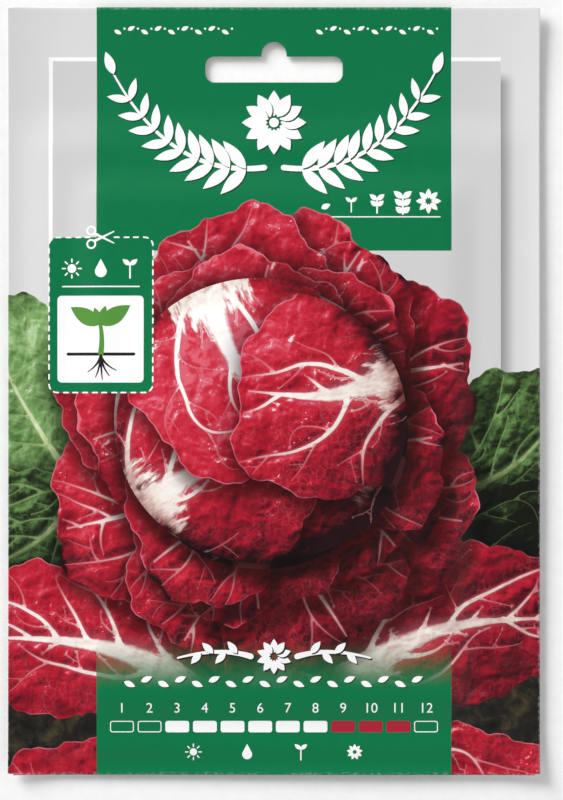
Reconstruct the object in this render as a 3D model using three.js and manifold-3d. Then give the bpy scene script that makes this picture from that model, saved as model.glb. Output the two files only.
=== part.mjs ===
// A flat paper seed packet with a punched hang slot, lying on its back with its printed face up.
// One folded and glued sheet of paper holds a sealed sachet, and the sachet holds the seeds.
// Units are millimetres. X runs across the packet, Y up it towards the hang slot, Z out of its front.
// The origin is the middle of the packet's footprint, on the surface that it lies on.
import * as THREE from "three";
import { mergeVertices } from "three/addons/utils/BufferGeometryUtils.js";
import Module from "manifold-3d";

const wasm = await Module();
wasm.setup();

// The folded paper envelope
const packetWidth = 138.5;
const packetHeight = 200;
const paper = 0.2; // real paper is about 0.12, this keeps the plies apart
const plyGap = 0.15;
const sideTab = 11; // glued under the back panel's free edge, beside the sachet
const backEdgeInset = 1.5; // from the left fold to the back panel's free edge
const bottomFlap = 20;
const topFlap = 26;
const flapInset = 1.4; // each flap is this much narrower than the packet at each side
const flapTaper = 5; // and gets this much narrower again towards its free edge
const flatRim = 1.5; // strip of the front panel beside each fold that stays flat, the flaps' root too
const headerSlope = 12; // length of the slope from the pocket down to the flat header

// The hang slot, a bar with a round hump over its middle
const slotWidth = 35.8;
const slotBarHeight = 6.7;
const slotCornerRadius = 2.3;
const slotHumpWidth = 6.6;
const slotHumpHeight = 3.75; // above the bar
const slotHumpDrop = 9.1; // from the packet's top edge to the top of the hump

// The sealed sachet and what it holds
const web = 0.2; // each of its two films
const contactGap = 0.3; // between separate pieces that rest on each other
const sachetWidth = 114;
const sachetBottom = 8; // its lower end above the packet's lower edge
const sachetTop = 38; // its upper end below the packet's upper edge
const toothPitch = 3; // of its pinked ends
const toothDepth = 1.2;
const tearNotchWidth = 3;
const tearNotchDepth = 2;
const tearNotchDrop = 14; // below the sachet's upper end
const pocketPlateau = 0.9; // rise of the front panel over the sachet's sealed rim
const sealWidth = 3; // the rim itself
const slackSlope = 10; // from the rim up to the full slack
const sachetSlack = 0.9; // further rise of both over the sachet's filled middle
const seedHeap = 1.9; // and over the thickest part of the seeds
const heapHalfWidth = 43;
const heapHalfHeight = 58;
const heapShift = -6; // the heap lies this far from the sachet's middle, towards its lower end
const heapPower = 3; // of its rounded outline, where 2 would be an ellipse
const heapFall = 1.5; // how roundly its top falls off towards the rim
const heapRim = 0.2; // thickness of the heap at its rim
const heapCut = 0.93; // share of that outline at which the solid heap ends
const seedLength = 2.6;
const seedRadius = 0.65; // at its blunt end
const seedTaper = 0.45; // share of that at its pointed end
const seedSides = 5;
const seedSunk = 0.25; // each seed's middle lies this far under the heap's surface
const seedTilt = 0.06; // radians that a seed leans at most, to either side
const seededShare = 0.86; // seeds lie out to this share of the heap's outline
const seedCount = 140;

// How finely the curved sheets are split, and how far cutting shapes reach past what they cut
const sleeveColumns = 24;
const sleeveRows = 20;
const filmColumns = 18;
const filmRows = 20;
const heapRings = 7;
const heapSegments = 26;
const cutReach = 3;

// Worked out from those: the heights of the paper's middle in each ply, counted from the surface
const halfWidth = packetWidth / 2;
const halfHeight = packetHeight / 2;
const ply = paper + plyGap;
const flapZ = paper / 2;
const backZ = flapZ + ply;
const tabZ = backZ + ply;
const frontZ = tabZ + ply;
const flapBend = (frontZ - flapZ) / 2;
const sleeveEnd = halfHeight - flapBend - paper; // the glued sleeve stops inside the flaps' folds
const sachetLow = -halfHeight + sachetBottom;
const sachetHigh = halfHeight - sachetTop;
const pocketHigh = sachetHigh + headerSlope; // above this the header is flat
const sachetHalfWidth = sachetWidth / 2;
const backWebZ = backZ + paper / 2 + contactGap; // underside of the sachet's back film
const seedFloorZ = backWebZ + web + contactGap;
const frontWebZ = seedFloorZ + web / 2; // middle of the front film at the sealed rim
const heapY = (sachetLow + sachetHigh) / 2 + heapShift;
const fullHeight = frontZ + pocketPlateau + sachetSlack + seedHeap + paper / 2;
const slotTop = halfHeight - slotHumpDrop;
const slotBarTop = slotTop - slotHumpHeight;
const slotBarLow = slotBarTop - slotBarHeight;

const printedPaper = new THREE.MeshStandardMaterial({ color: 0xe1e1e1, roughness: 0.35, metalness: 0 });
const foilFilm = new THREE.MeshStandardMaterial({ color: 0xc9cbcc, roughness: 0.3, metalness: 0.8 });
const seedCoat = new THREE.MeshStandardMaterial({ color: 0xa98a5e, roughness: 0.8, metalness: 0 });

const { smoothstep } = THREE.MathUtils;

// How high the filled sachet lifts the paper over each point of the packet
function plateau(x, y) {
  const side = smoothstep(halfWidth - Math.abs(x), flatRim, halfWidth - sachetHalfWidth);
  const low = smoothstep(y, -sleeveEnd + flatRim, sachetLow);
  const high = 1 - smoothstep(y, sachetHigh, pocketHigh);
  return pocketPlateau * side * low * high;
}

function slack(x, y) {
  const full = sealWidth + slackSlope;
  const side = smoothstep(sachetHalfWidth - Math.abs(x), sealWidth, full);
  const low = smoothstep(y - sachetLow, sealWidth, full);
  const high = smoothstep(sachetHigh - y, sealWidth, full);
  return sachetSlack * side * low * high;
}

function heapShare(x, y) {
  const across = Math.abs(x / heapHalfWidth) ** heapPower;
  const along = Math.abs((y - heapY) / heapHalfHeight) ** heapPower;
  const reach = across + along;
  return reach < 1 ? (1 - reach) ** heapFall : 0;
}

function filledRise(x, y) {
  return slack(x, y) + seedHeap * heapShare(x, y);
}

// A closed solid from a three.js geometry, and back
function solidOf(geometry) {
  const plain = geometry.clone();
  plain.deleteAttribute("normal");
  plain.deleteAttribute("uv");
  const merged = mergeVertices(plain, 1e-4);
  return new wasm.Manifold(
    new wasm.Mesh({
      numProp: 3,
      vertProperties: merged.attributes.position.array,
      triVerts: new Uint32Array(merged.index.array),
    }),
  );
}

function meshOf(solid, name, material) {
  const { vertProperties, triVerts } = solid.getMesh();
  const geometry = new THREE.BufferGeometry();
  geometry.setAttribute("position", new THREE.BufferAttribute(vertProperties, 3));
  geometry.setIndex(new THREE.BufferAttribute(triVerts, 1));
  geometry.computeVertexNormals();
  const mesh = new THREE.Mesh(geometry, material);
  mesh.name = name;
  return mesh;
}

// A sheet with a thickness. Each station is a row of [outer point, inner point] pairs, and outward is
// along the row's direction crossed with the direction from station to station.
function sheetSolid(stations) {
  const columns = stations[0].length;
  const lastColumn = columns - 1;
  const lastRow = stations.length - 1;
  const at = (row, column, side) => 2 * (row * columns + column) + side;
  const outer = (row, column) => at(row, column, 0);
  const inner = (row, column) => at(row, column, 1);
  const faces = [];
  const quad = (a, b, c, d) => faces.push(a, b, c, a, c, d);
  for (let r = 0; r < lastRow; r++) {
    for (let c = 0; c < lastColumn; c++) {
      quad(outer(r, c), outer(r, c + 1), outer(r + 1, c + 1), outer(r + 1, c));
      quad(inner(r, c), inner(r + 1, c), inner(r + 1, c + 1), inner(r, c + 1));
    }
    quad(outer(r, 0), outer(r + 1, 0), inner(r + 1, 0), inner(r, 0));
    quad(inner(r, lastColumn), inner(r + 1, lastColumn), outer(r + 1, lastColumn), outer(r, lastColumn));
  }
  for (let c = 0; c < lastColumn; c++) {
    quad(inner(0, c), inner(0, c + 1), outer(0, c + 1), outer(0, c));
    quad(outer(lastRow, c), outer(lastRow, c + 1), inner(lastRow, c + 1), inner(lastRow, c));
  }
  const geometry = new THREE.BufferGeometry();
  geometry.setAttribute("position", new THREE.Float32BufferAttribute(stations.flat(3), 3));
  geometry.setIndex(faces);
  return solidOf(geometry);
}

// Numbers from low to high that lie closer together towards both ends
function closerAtEnds(low, high, steps) {
  const middle = (low + high) / 2;
  const half = (high - low) / 2;
  return Array.from({ length: steps + 1 }, (_, i) => middle + half * Math.sin(Math.PI * (i / steps - 0.5)));
}

// The paper's path round the packet at one height, from the side tab's free edge, round the left fold,
// across the front, round the right fold and back under it. Each step is [x, z, outward x, outward z].
function girthPath(y) {
  const leftBend = (frontZ - tabZ) / 2;
  const rightBend = (frontZ - backZ) / 2;
  const leftAxis = -halfWidth + leftBend + paper / 2;
  const rightAxis = halfWidth - rightBend - paper / 2;
  const path = [
    [-halfWidth + sideTab, tabZ, 0, -1],
    [-halfWidth + sideTab / 2, tabZ, 0, -1],
  ];
  const leftSteps = 4;
  for (let i = 0; i <= leftSteps; i++) {
    const turn = Math.PI * (1.5 - i / leftSteps);
    const [outX, outZ] = [Math.cos(turn), Math.sin(turn)];
    path.push([leftAxis + leftBend * outX, (tabZ + frontZ) / 2 + leftBend * outZ, outX, outZ]);
  }
  for (const x of closerAtEnds(leftAxis, rightAxis, sleeveColumns).slice(1, -1)) {
    path.push([x, frontZ + plateau(x, y) + filledRise(x, y), 0, 1]);
  }
  const rightSteps = 6;
  for (let i = 0; i <= rightSteps; i++) {
    const turn = Math.PI * (0.5 - i / rightSteps);
    const [outX, outZ] = [Math.cos(turn), Math.sin(turn)];
    path.push([rightAxis + rightBend * outX, (backZ + frontZ) / 2 + rightBend * outZ, outX, outZ]);
  }
  const backSteps = 5;
  const backEnd = -halfWidth + backEdgeInset;
  for (let i = 1; i <= backSteps; i++) {
    path.push([rightAxis + ((backEnd - rightAxis) * i) / backSteps, backZ, 0, -1]);
  }
  return path;
}

function sleeve() {
  const flatEnd = sleeveEnd - flatRim;
  const rows = [-sleeveEnd, ...closerAtEnds(-flatEnd, pocketHigh, sleeveRows), sleeveEnd];
  const half = paper / 2;
  return sheetSolid(
    rows.map((y) =>
      girthPath(y).map(([x, z, outX, outZ]) => [
        [x + half * outX, y, z + half * outZ],
        [x - half * outX, y, z - half * outZ],
      ]),
    ),
  );
}

// A flap that runs on from the front panel, folds round the packet's end and lies flat under the back.
// end is 1 for the top flap and -1 for the bottom one.
function flap(end, depth) {
  const root = sleeveEnd - flatRim;
  const bendAxis = halfHeight - flapBend - paper / 2;
  const middleZ = (frontZ + flapZ) / 2;
  const section = new THREE.Shape();
  section.moveTo(root, frontZ - paper / 2);
  section.lineTo(bendAxis, frontZ - paper / 2);
  section.absarc(bendAxis, middleZ, flapBend - paper / 2, Math.PI / 2, -Math.PI / 2, true);
  section.lineTo(halfHeight - depth, flapZ + paper / 2);
  section.lineTo(halfHeight - depth, flapZ - paper / 2);
  section.lineTo(bendAxis, flapZ - paper / 2);
  section.absarc(bendAxis, middleZ, flapBend + paper / 2, -Math.PI / 2, Math.PI / 2, false);
  section.lineTo(root, frontZ + paper / 2);
  section.closePath();
  const along = { depth: packetWidth, bevelEnabled: false, curveSegments: 5 };
  const swept = new THREE.ExtrudeGeometry(section, along);
  swept.translate(0, 0, -halfWidth);
  swept.applyMatrix4(
    new THREE.Matrix4().makeBasis(
      new THREE.Vector3(0, 1, 0),
      new THREE.Vector3(0, 0, 1),
      new THREE.Vector3(1, 0, 0),
    ),
  );
  if (end < 0) {
    swept.rotateZ(Math.PI);
  }
  const wide = halfWidth - flapInset;
  const outline = new THREE.Shape([
    new THREE.Vector2(-wide, end * (halfHeight + cutReach)),
    new THREE.Vector2(-wide + flapTaper, end * (halfHeight - depth - cutReach)),
    new THREE.Vector2(wide - flapTaper, end * (halfHeight - depth - cutReach)),
    new THREE.Vector2(wide, end * (halfHeight + cutReach)),
  ]);
  const trim = new THREE.ExtrudeGeometry(outline, { depth: frontZ + 2 * cutReach, bevelEnabled: false });
  trim.translate(0, 0, -cutReach);
  return solidOf(swept).intersect(solidOf(trim));
}

function slotOutline() {
  const halfBar = slotWidth / 2;
  const r = slotCornerRadius;
  const humpRadius = slotHumpWidth / 2;
  const humpAxis = slotTop - humpRadius;
  const quarter = Math.PI / 2;
  const outline = new THREE.Shape();
  outline.moveTo(-halfBar + r, slotBarLow);
  outline.lineTo(halfBar - r, slotBarLow);
  outline.absarc(halfBar - r, slotBarLow + r, r, -quarter, 0, false);
  outline.absarc(halfBar - r, slotBarTop - r, r, 0, quarter, false);
  outline.lineTo(humpRadius, slotBarTop);
  outline.absarc(0, humpAxis, humpRadius, 0, 2 * quarter, false);
  outline.lineTo(-humpRadius, slotBarTop);
  outline.absarc(-halfBar + r, slotBarTop - r, r, quarter, 2 * quarter, false);
  outline.absarc(-halfBar + r, slotBarLow + r, r, 2 * quarter, 3 * quarter, false);
  return outline;
}

function hangSlotCutter() {
  const depth = frontZ + 2 * cutReach;
  const cutter = new THREE.ExtrudeGeometry(slotOutline(), { depth, bevelEnabled: false, curveSegments: 6 });
  cutter.translate(0, 0, -cutReach);
  return solidOf(cutter);
}

function outerEnvelope() {
  const folded = sleeve().add(flap(-1, bottomFlap)).add(flap(1, topFlap));
  return meshOf(folded.subtract(hangSlotCutter()), "outer_envelope", printedPaper);
}

// The sachet's outline, with pinked ends and a tear notch in its right side
function sachetOutline() {
  const teeth = Math.round(sachetWidth / toothPitch);
  const pitch = sachetWidth / teeth;
  const corners = [];
  for (let i = 0; i <= 2 * teeth; i++) {
    corners.push([-sachetHalfWidth + (i * pitch) / 2, sachetLow + (i % 2 ? toothDepth : 0)]);
  }
  const notchY = sachetHigh - tearNotchDrop;
  corners.push([sachetHalfWidth, notchY - tearNotchWidth / 2]);
  corners.push([sachetHalfWidth - tearNotchDepth, notchY]);
  corners.push([sachetHalfWidth, notchY + tearNotchWidth / 2]);
  for (let i = 2 * teeth; i >= 0; i--) {
    corners.push([-sachetHalfWidth + (i * pitch) / 2, sachetHigh - (i % 2 ? toothDepth : 0)]);
  }
  return new THREE.Shape(corners.map(([x, y]) => new THREE.Vector2(x, y)));
}

function sachetBackWeb() {
  const film = new THREE.ExtrudeGeometry(sachetOutline(), { depth: web, bevelEnabled: false });
  film.translate(0, 0, backWebZ);
  return meshOf(solidOf(film), "sachet_back_web", foilFilm);
}

function sachetFrontWeb() {
  const spare = 1; // of film past the outline, which the trim takes off
  const xs = closerAtEnds(-sachetHalfWidth - spare, sachetHalfWidth + spare, filmColumns);
  const ys = closerAtEnds(sachetLow - spare, sachetHigh + spare, filmRows);
  const domed = sheetSolid(
    ys.map((y) =>
      xs.map((x) => {
        const z = frontWebZ + filledRise(x, y);
        return [
          [x, y, z + web / 2],
          [x, y, z - web / 2],
        ];
      }),
    ),
  );
  const trim = new THREE.ExtrudeGeometry(sachetOutline(), { depth: fullHeight, bevelEnabled: false });
  return meshOf(domed.intersect(solidOf(trim)), "sachet_front_web", foilFilm);
}

// Repeatable numbers from 0 to 1
function seededRandom(seed) {
  let state = seed;
  return () => {
    state = (Math.imul(state, 1664525) + 1013904223) >>> 0;
    return state / 4294967296;
  };
}

// The heap is a low mound over a rounded rectangle. share runs from 0 at its middle to 1 at its rim.
function heapPoint(share, angle) {
  const round = (v) => Math.sign(v) * Math.abs(v) ** (2 / heapPower);
  return [
    heapHalfWidth * share * round(Math.cos(angle)),
    heapY + heapHalfHeight * share * round(Math.sin(angle)),
  ];
}

function heapTop(x, y) {
  return seedFloorZ + heapRim + (seedHeap - heapRim) * heapShare(x, y);
}

function mound() {
  const profile = [new THREE.Vector2(0, 0), new THREE.Vector2(heapCut, 0)];
  for (let i = heapRings; i >= 0; i--) {
    profile.push(new THREE.Vector2((heapCut * i) / heapRings, 1));
  }
  const geometry = new THREE.LatheGeometry(profile, heapSegments);
  const position = geometry.attributes.position;
  for (let i = 0; i < position.count; i++) {
    const share = Math.hypot(position.getX(i), position.getZ(i));
    const [x, y] = heapPoint(share, Math.atan2(-position.getZ(i), position.getX(i)));
    position.setXYZ(i, x, y, position.getY(i) > 0.5 ? heapTop(x, y) : seedFloorZ);
  }
  return solidOf(geometry);
}

// Narrow five-sided wedges, blunt at one end, half sunk in the mound
function seedHeapMesh() {
  const random = seededRandom(7);
  const goldenAngle = Math.PI * (3 - Math.sqrt(5));
  const seeds = [];
  for (let i = 0; i < seedCount; i++) {
    const seed = new THREE.CylinderGeometry(seedRadius, seedRadius * seedTaper, seedLength, seedSides);
    seed.rotateY(random() * Math.PI);
    seed.rotateX(2 * seedTilt * (random() - 0.5));
    seed.rotateZ(random() * 2 * Math.PI);
    const [x, y] = heapPoint(seededShare * Math.sqrt((i + 0.5) / seedCount), i * goldenAngle);
    seed.translate(x, y, heapTop(x, y) - seedSunk);
    seeds.push(solidOf(seed));
  }
  const heap = wasm.Manifold.union([mound(), ...seeds]).trimByPlane([0, 0, 1], seedFloorZ);
  return meshOf(heap, "seed_heap", seedCoat);
}

const sachet = new THREE.Group();
sachet.add(sachetBackWeb(), sachetFrontWeb(), seedHeapMesh());

const packet = new THREE.Group();
packet.add(outerEnvelope(), sachet);

export default packet;
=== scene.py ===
import math

import bpy
import numpy as np
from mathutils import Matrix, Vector, geometry, kdtree


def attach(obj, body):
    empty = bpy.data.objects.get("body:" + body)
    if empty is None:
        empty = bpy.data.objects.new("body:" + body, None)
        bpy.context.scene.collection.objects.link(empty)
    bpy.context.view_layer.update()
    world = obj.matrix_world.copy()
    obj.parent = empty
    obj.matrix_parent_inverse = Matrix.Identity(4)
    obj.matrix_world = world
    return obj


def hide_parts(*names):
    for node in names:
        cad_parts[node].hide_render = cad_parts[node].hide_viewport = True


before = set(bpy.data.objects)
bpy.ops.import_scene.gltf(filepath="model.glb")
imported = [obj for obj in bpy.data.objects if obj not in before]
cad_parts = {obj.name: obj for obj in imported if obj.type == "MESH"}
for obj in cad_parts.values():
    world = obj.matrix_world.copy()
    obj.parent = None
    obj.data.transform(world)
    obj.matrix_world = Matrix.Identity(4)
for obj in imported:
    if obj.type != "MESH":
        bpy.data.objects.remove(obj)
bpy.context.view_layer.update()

# A filled paper seed packet on its back, seen from straight above.
# The dictionaries below hold millimetres and 0-255 colours, and meshes are made in metres.
mm = 0.001

packet = {
    "width": 138.5,
    "height": 200,
    "paper": 0.14,
    "glueGap": 0.05,
    "sideTab": 11,
    "backInset": 1.5,
    "bottomFlap": 20,
    "topFlap": 26,
    "flapInset": 1.4,
    "flapTaper": 5,
    "flapCorner": 3,
    "flapCornerIn": 2,
    "tabTaper": 5,
    "flatRim": 1.5,
    "sideLift": 1.3,  # how far the empty rim curls up off the table
    "topLift": 1.3,
    "lowLift": 1.15,
    "foldSteps": 6,
}

slot = {"width": 35.8, "bar": 6.7, "corner": 2.3, "humpWidth": 6.6, "hump": 3.75, "drop": 9.1}

sachet = {
    "width": 114,
    "low": -92,
    "high": 62,
    "headerSlope": 12,
    "frontTop": 1.75,  # top of the front panel over the sachet's sealed rim
    "seal": 3,
    "slope": 10,
    "slack": 1.05,
    "heap": 2.05,
    "heapHalfWidth": 43,
    "heapHalfHeight": 58,
    "heapY": -21,
    "heapPower": 3,
    "heapFall": 1.5,
}


def smooth(value, low, high):
    t = np.clip((value - low) / (high - low), 0, 1)
    return t * t * (3 - 2 * t)


def linear(colour):
    share = np.array(colour, float) / 255
    return tuple(np.where(share <= 0.04045, share / 12.92, ((share + 0.055) / 1.055) ** 2.4)) + (1.0,)


# The heights of the paper's middle in each ply, and the blank's fold lines
halfWidth = packet["width"] / 2
halfHeight = packet["height"] / 2
paper = packet["paper"]
plyPitch = paper + packet["glueGap"]
flapZ, backZ, tabZ, frontZ = (paper / 2 + i * plyPitch for i in range(4))
leftBend = (frontZ - tabZ) / 2
rightBend = (frontZ - backZ) / 2
endBend = (frontZ - flapZ) / 2
leftAxis = -halfWidth + leftBend + paper / 2
rightAxis = halfWidth - rightBend - paper / 2
endAxis = halfHeight - endBend - paper / 2
leftFold = leftAxis - math.pi * leftBend
rightFold = rightAxis + math.pi * rightBend
endFold = endAxis + math.pi * endBend
sleeveEnd = halfHeight - endBend - paper


# How high the filled sachet lifts the front panel, and the empty rim curls up
def filledRise(x, y):
    edge = sachet["width"] / 2 - np.abs(x)
    full = sachet["seal"] + sachet["slope"]
    slack = smooth(edge, sachet["seal"], full)
    slack = slack * smooth(y - sachet["low"], sachet["seal"], full)
    slack = slack * smooth(sachet["high"] - y, sachet["seal"], full)
    across = np.abs(x / sachet["heapHalfWidth"]) ** sachet["heapPower"]
    along = np.abs((y - sachet["heapY"]) / sachet["heapHalfHeight"]) ** sachet["heapPower"]
    heap = np.clip(1 - across - along, 0, 1) ** sachet["heapFall"]
    return sachet["slack"] * slack + sachet["heap"] * heap


def pocketRise(x, y):
    rise = sachet["frontTop"] - frontZ - paper / 2
    side = smooth(halfWidth - np.abs(x), packet["flatRim"], halfWidth - sachet["width"] / 2)
    low = smooth(y, -sleeveEnd + packet["flatRim"], sachet["low"])
    high = smooth(sachet["high"] + sachet["headerSlope"] - y, 0, sachet["headerSlope"])
    return rise * side * low * high + filledRise(x, y)


# Soft creases: x, y of both ends, depth, half width
creases = [
    (-66, 88, -44, 63, 0.16, 1.5),
    (66, 80, 49, 60, -0.14, 1.7),
    (-30, 74, -12, 60, 0.10, 1.8),
    (22, 76, 34, 58, 0.12, 1.6),
    (-66, -62, -50, -44, 0.12, 1.6),
    (67, -84, 50, -70, 0.15, 1.5),
    (64, -20, 50, -12, -0.10, 1.9),
    (-64, 20, -50, 12, -0.11, 1.8),
    (-52, -97, -40, -84, 0.12, 1.4),
    (30, -97, 22, -86, 0.10, 1.4),
    (4, 40, 30, 28, 0.07, 2.2),
    (-34, -66, -14, -76, 0.08, 2.0),
]
creaseForm = {
    "depth": 0.5,
    "widen": 1.5,
    "bow": 1.6,  # how far a crease bends aside in its middle
    "fade": 0.8,
    "lean": 0.6,
    "start": (0.5, 4),  # how far in from the side folds they begin and are full
}


def creaseRelief(x, y):
    # a crease is a low ridge with a shallower hollow beside it
    relief = np.zeros_like(x)
    for x0, y0, x1, y1, depth, half in creases:
        dx, dy = x1 - x0, y1 - y0
        length = math.hypot(dx, dy)
        share = ((x - x0) * dx + (y - y0) * dy) / length**2
        across = ((x - x0) * dy - (y - y0) * dx) / length
        aside = (across + creaseForm["bow"] * (np.sin(share * math.pi) - 0.5)) / half
        fade = np.clip(share * (1 - share) * 4, 0, 1) ** creaseForm["fade"]
        ridge = np.exp(-((aside / creaseForm["widen"]) ** 2)) * np.tanh(aside + creaseForm["lean"])
        relief += creaseForm["depth"] * depth * fade * ridge
    return relief


rimCurl = {
    "sideStart": 4,  # inside the sachet's edge
    "lowStart": 6,
    "wave": 0.2,
    "sideWave": 29,
    "sideShift": 0.4,
    "sidesApart": 1.1,
    "endWave": 27,
    "endShift": 0.8,
    "corner": 0.25,  # how much more the lower right corner curls
    "cornerReach": (60, 170),
}


def rimLift(x, y):
    def curl(value, start, end):
        return np.clip((value - start) / (end - start), 0, 1) ** 2

    side = curl(np.abs(x), sachet["width"] / 2 - rimCurl["sideStart"], halfWidth)
    top = curl(y, sachet["high"], halfHeight)
    low = curl(-y, -sachet["low"] - rimCurl["lowStart"], halfHeight)
    shift = np.sign(x) * rimCurl["sidesApart"] + rimCurl["sideShift"]
    side = side * (1 + rimCurl["wave"] * np.sin(y / rimCurl["sideWave"] + shift))
    low = low * (1 + rimCurl["wave"] * np.sin(x / rimCurl["endWave"] + rimCurl["endShift"]))
    lift = packet["sideLift"] * side + packet["topLift"] * top + packet["lowLift"] * low
    return lift * (1 + rimCurl["corner"] * smooth(x - y, *rimCurl["cornerReach"]))


# Points of the flat blank (u across, v up), folded round the packet, offset out of the paper's middle
def foldBlank(flat, offset):
    u, v = flat[:, 0], flat[:, 1]
    x, y, z = u.copy(), v.copy(), np.full(len(u), frontZ)
    out = np.zeros((len(u), 3))
    out[:, 2] = 1
    front = np.ones(len(u), bool)
    for sign, axis, bend in ((1, rightAxis, rightBend), (-1, -leftAxis, leftBend)):
        past = sign * u - axis
        turned = past > 0
        turn = np.clip(past[turned] / bend, 0, math.pi)
        flatPart = np.clip(past[turned] - math.pi * bend, 0, None)
        x[turned] = sign * (axis + np.sin(turn) * bend - flatPart)
        z[turned] = frontZ - bend + np.cos(turn) * bend
        out[turned, 0] = sign * np.sin(turn)
        out[turned, 2] = np.cos(turn)
        front &= ~turned
    past = np.abs(v) - endAxis
    turned = past > 0
    sign = np.sign(v[turned])
    turn = np.clip(past[turned] / endBend, 0, math.pi)
    flatPart = np.clip(past[turned] - math.pi * endBend, 0, None)
    y[turned] = sign * (endAxis + np.sin(turn) * endBend - flatPart)
    z[turned] = frontZ - endBend + np.cos(turn) * endBend
    out[turned, 1] = sign * np.sin(turn)
    out[turned, 2] = np.cos(turn)
    front &= ~turned
    rise = pocketRise(x, y) + creaseRelief(x, y) * smooth(halfWidth - np.abs(x), *creaseForm["start"])
    z = z + np.where(front, rise, 0) + rimLift(x, y)
    return np.stack([x, y, z], 1) + out * offset[:, None]


# Flat outlines, as closed loops of points
def loopOf(points):
    return np.array(points, float)


def rectangle(x0, y0, x1, y1):
    return loopOf([(x0, y0), (x1, y0), (x1, y1), (x0, y1)])


def arc(x, y, radius, start, end, steps):
    turns = np.radians(np.linspace(start, end, steps + 1))
    return [(x + radius * math.cos(t), y + radius * math.sin(t)) for t in turns]


def roundedRectangle(x0, y0, x1, y1, r, steps=5):
    corners = [(x1 - r, y1 - r, 0), (x0 + r, y1 - r, 90), (x0 + r, y0 + r, 180), (x1 - r, y0 + r, 270)]
    return loopOf([p for x, y, turn in corners for p in arc(x, y, r, turn, turn + 90, steps)])


def disc(x, y, radius, steps=20):
    return loopOf(arc(x, y, radius, 0, 360, steps)[:-1])


def ring(x, y, radius, width, steps=20):
    return loopOf(arc(x, y, radius, 0, 360, steps) + arc(x, y, radius - width, 360, 0, steps))


def almond(x, y, length, width, degrees, steps=7):
    # a pointed leaf whose stalk end is at x, y
    t = np.linspace(0, 1, steps + 1)
    half = width / 2 * np.sin(np.pi * t**0.85) ** 0.9
    along = np.concatenate([t, t[-2:0:-1]]) * length
    across = np.concatenate([half, -half[-2:0:-1]])
    c, s = math.cos(math.radians(degrees)), math.sin(math.radians(degrees))
    return np.stack([x + along * c - across * s, y + along * s + across * c], 1)


def stroke(points, startWidth, endWidth=None):
    # a band along a line, with round ends
    line = np.array(points, float)
    step = np.gradient(line, axis=0)
    step /= np.linalg.norm(step, axis=1)[:, None]
    side = np.stack([-step[:, 1], step[:, 0]], 1)
    widths = np.linspace(startWidth, startWidth if endWidth is None else endWidth, len(line)) / 2
    left, right = line + side * widths[:, None], line - side * widths[:, None]
    headTurn = math.degrees(math.atan2(*side[0][::-1]))
    tailTurn = math.degrees(math.atan2(*(-side[-1])[::-1]))
    head = arc(*line[0], widths[0], headTurn, headTurn + 180, 4)
    tail = arc(*line[-1], widths[-1], tailTurn, tailTurn + 180, 4)
    return loopOf(head[:-1] + list(map(tuple, right)) + tail[1:-1] + list(map(tuple, left[::-1])))


def bezier(p0, p1, p2, steps=16):
    t = np.linspace(0, 1, steps + 1)[:, None]
    p0, p1, p2 = map(np.array, (p0, p1, p2))
    return (1 - t) ** 2 * p0 + 2 * t * (1 - t) * p1 + t**2 * p2


batch = 1500  # points that are tested at a time


def inside(points, loop):
    found = np.zeros(len(points), bool)
    near = np.flatnonzero(((points > loop.min(0)) & (points < loop.max(0))).all(1))
    ends = np.roll(loop, -1, 0)
    level = loop[:, 1] != ends[:, 1]
    (x0, y0), (x1, y1) = loop[level].T, ends[level].T
    slant = (x1 - x0) / (y1 - y0)
    for first in range(0, len(near), batch):
        some = near[first:first + batch]
        x, y = points[some, 0][:, None], points[some, 1][:, None]
        crossed = ((y0 > y) != (y1 > y)) & (x < slant * (y - y0) + x0)
        found[some] = crossed.sum(1) % 2 == 1
    return found


def resample(loop, pitch, closed=True):
    line = np.vstack([loop, loop[:1]]) if closed else loop
    run = np.concatenate([[0], np.cumsum(np.linalg.norm(np.diff(line, axis=0), axis=1))])
    count = max(int(run[-1] / pitch), 2)
    at = np.linspace(0, run[-1], count + 1)
    even = np.stack([np.interp(at, run, line[:, i]) for i in (0, 1)], 1)
    return even[:-1] if closed else even


def subdivide(line, pitch, closed=True, breaks=()):
    # adds points along long edges, and where an edge crosses one of the breaks (axis, place)
    points = []
    for a, b in zip(line, np.roll(line, -1, 0) if closed else line[1:]):
        shares = list(np.linspace(0, 1, max(math.ceil(np.linalg.norm(b - a) / pitch), 1) + 1)[:-1])
        for axis, place in breaks:
            if (a[axis] - place) * (b[axis] - place) < 0:
                shares.append((place - a[axis]) / (b[axis] - a[axis]))
        points += [a + (b - a) * share for share in sorted(shares)]
    return np.array(points if closed else points + [line[-1]])


def clipLoop(loop, convex):
    # what of a loop lies in a convex one, which runs counterclockwise
    for a, b in zip(convex, np.roll(convex, -1, 0)):
        side = (b - a)[0] * (loop[:, 1] - a[1]) - (b - a)[1] * (loop[:, 0] - a[0])
        if (side >= 0).all():
            continue
        kept = []
        for p, q, atP, atQ in zip(loop, np.roll(loop, -1, 0), side, np.roll(side, -1)):
            if atP >= 0:
                kept.append(p)
            if (atP >= 0) != (atQ >= 0):
                kept.append(p + (q - p) * atP / (atP - atQ))
        if len(kept) < 3:
            return None
        loop = np.array(kept)
    return loop


def segmentDistance(points, starts, ends):
    # distance of every point to every segment, and how far along the segment the nearest place is
    way = ends - starts
    long2 = np.maximum((way**2).sum(1), 1e-12)
    gap = points[:, None, :] - starts[None]
    share = np.clip((gap * way[None]).sum(2) / long2, 0, 1)
    miss = gap - share[:, :, None] * way[None]
    return np.sqrt((miss**2).sum(2)), share, miss


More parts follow.
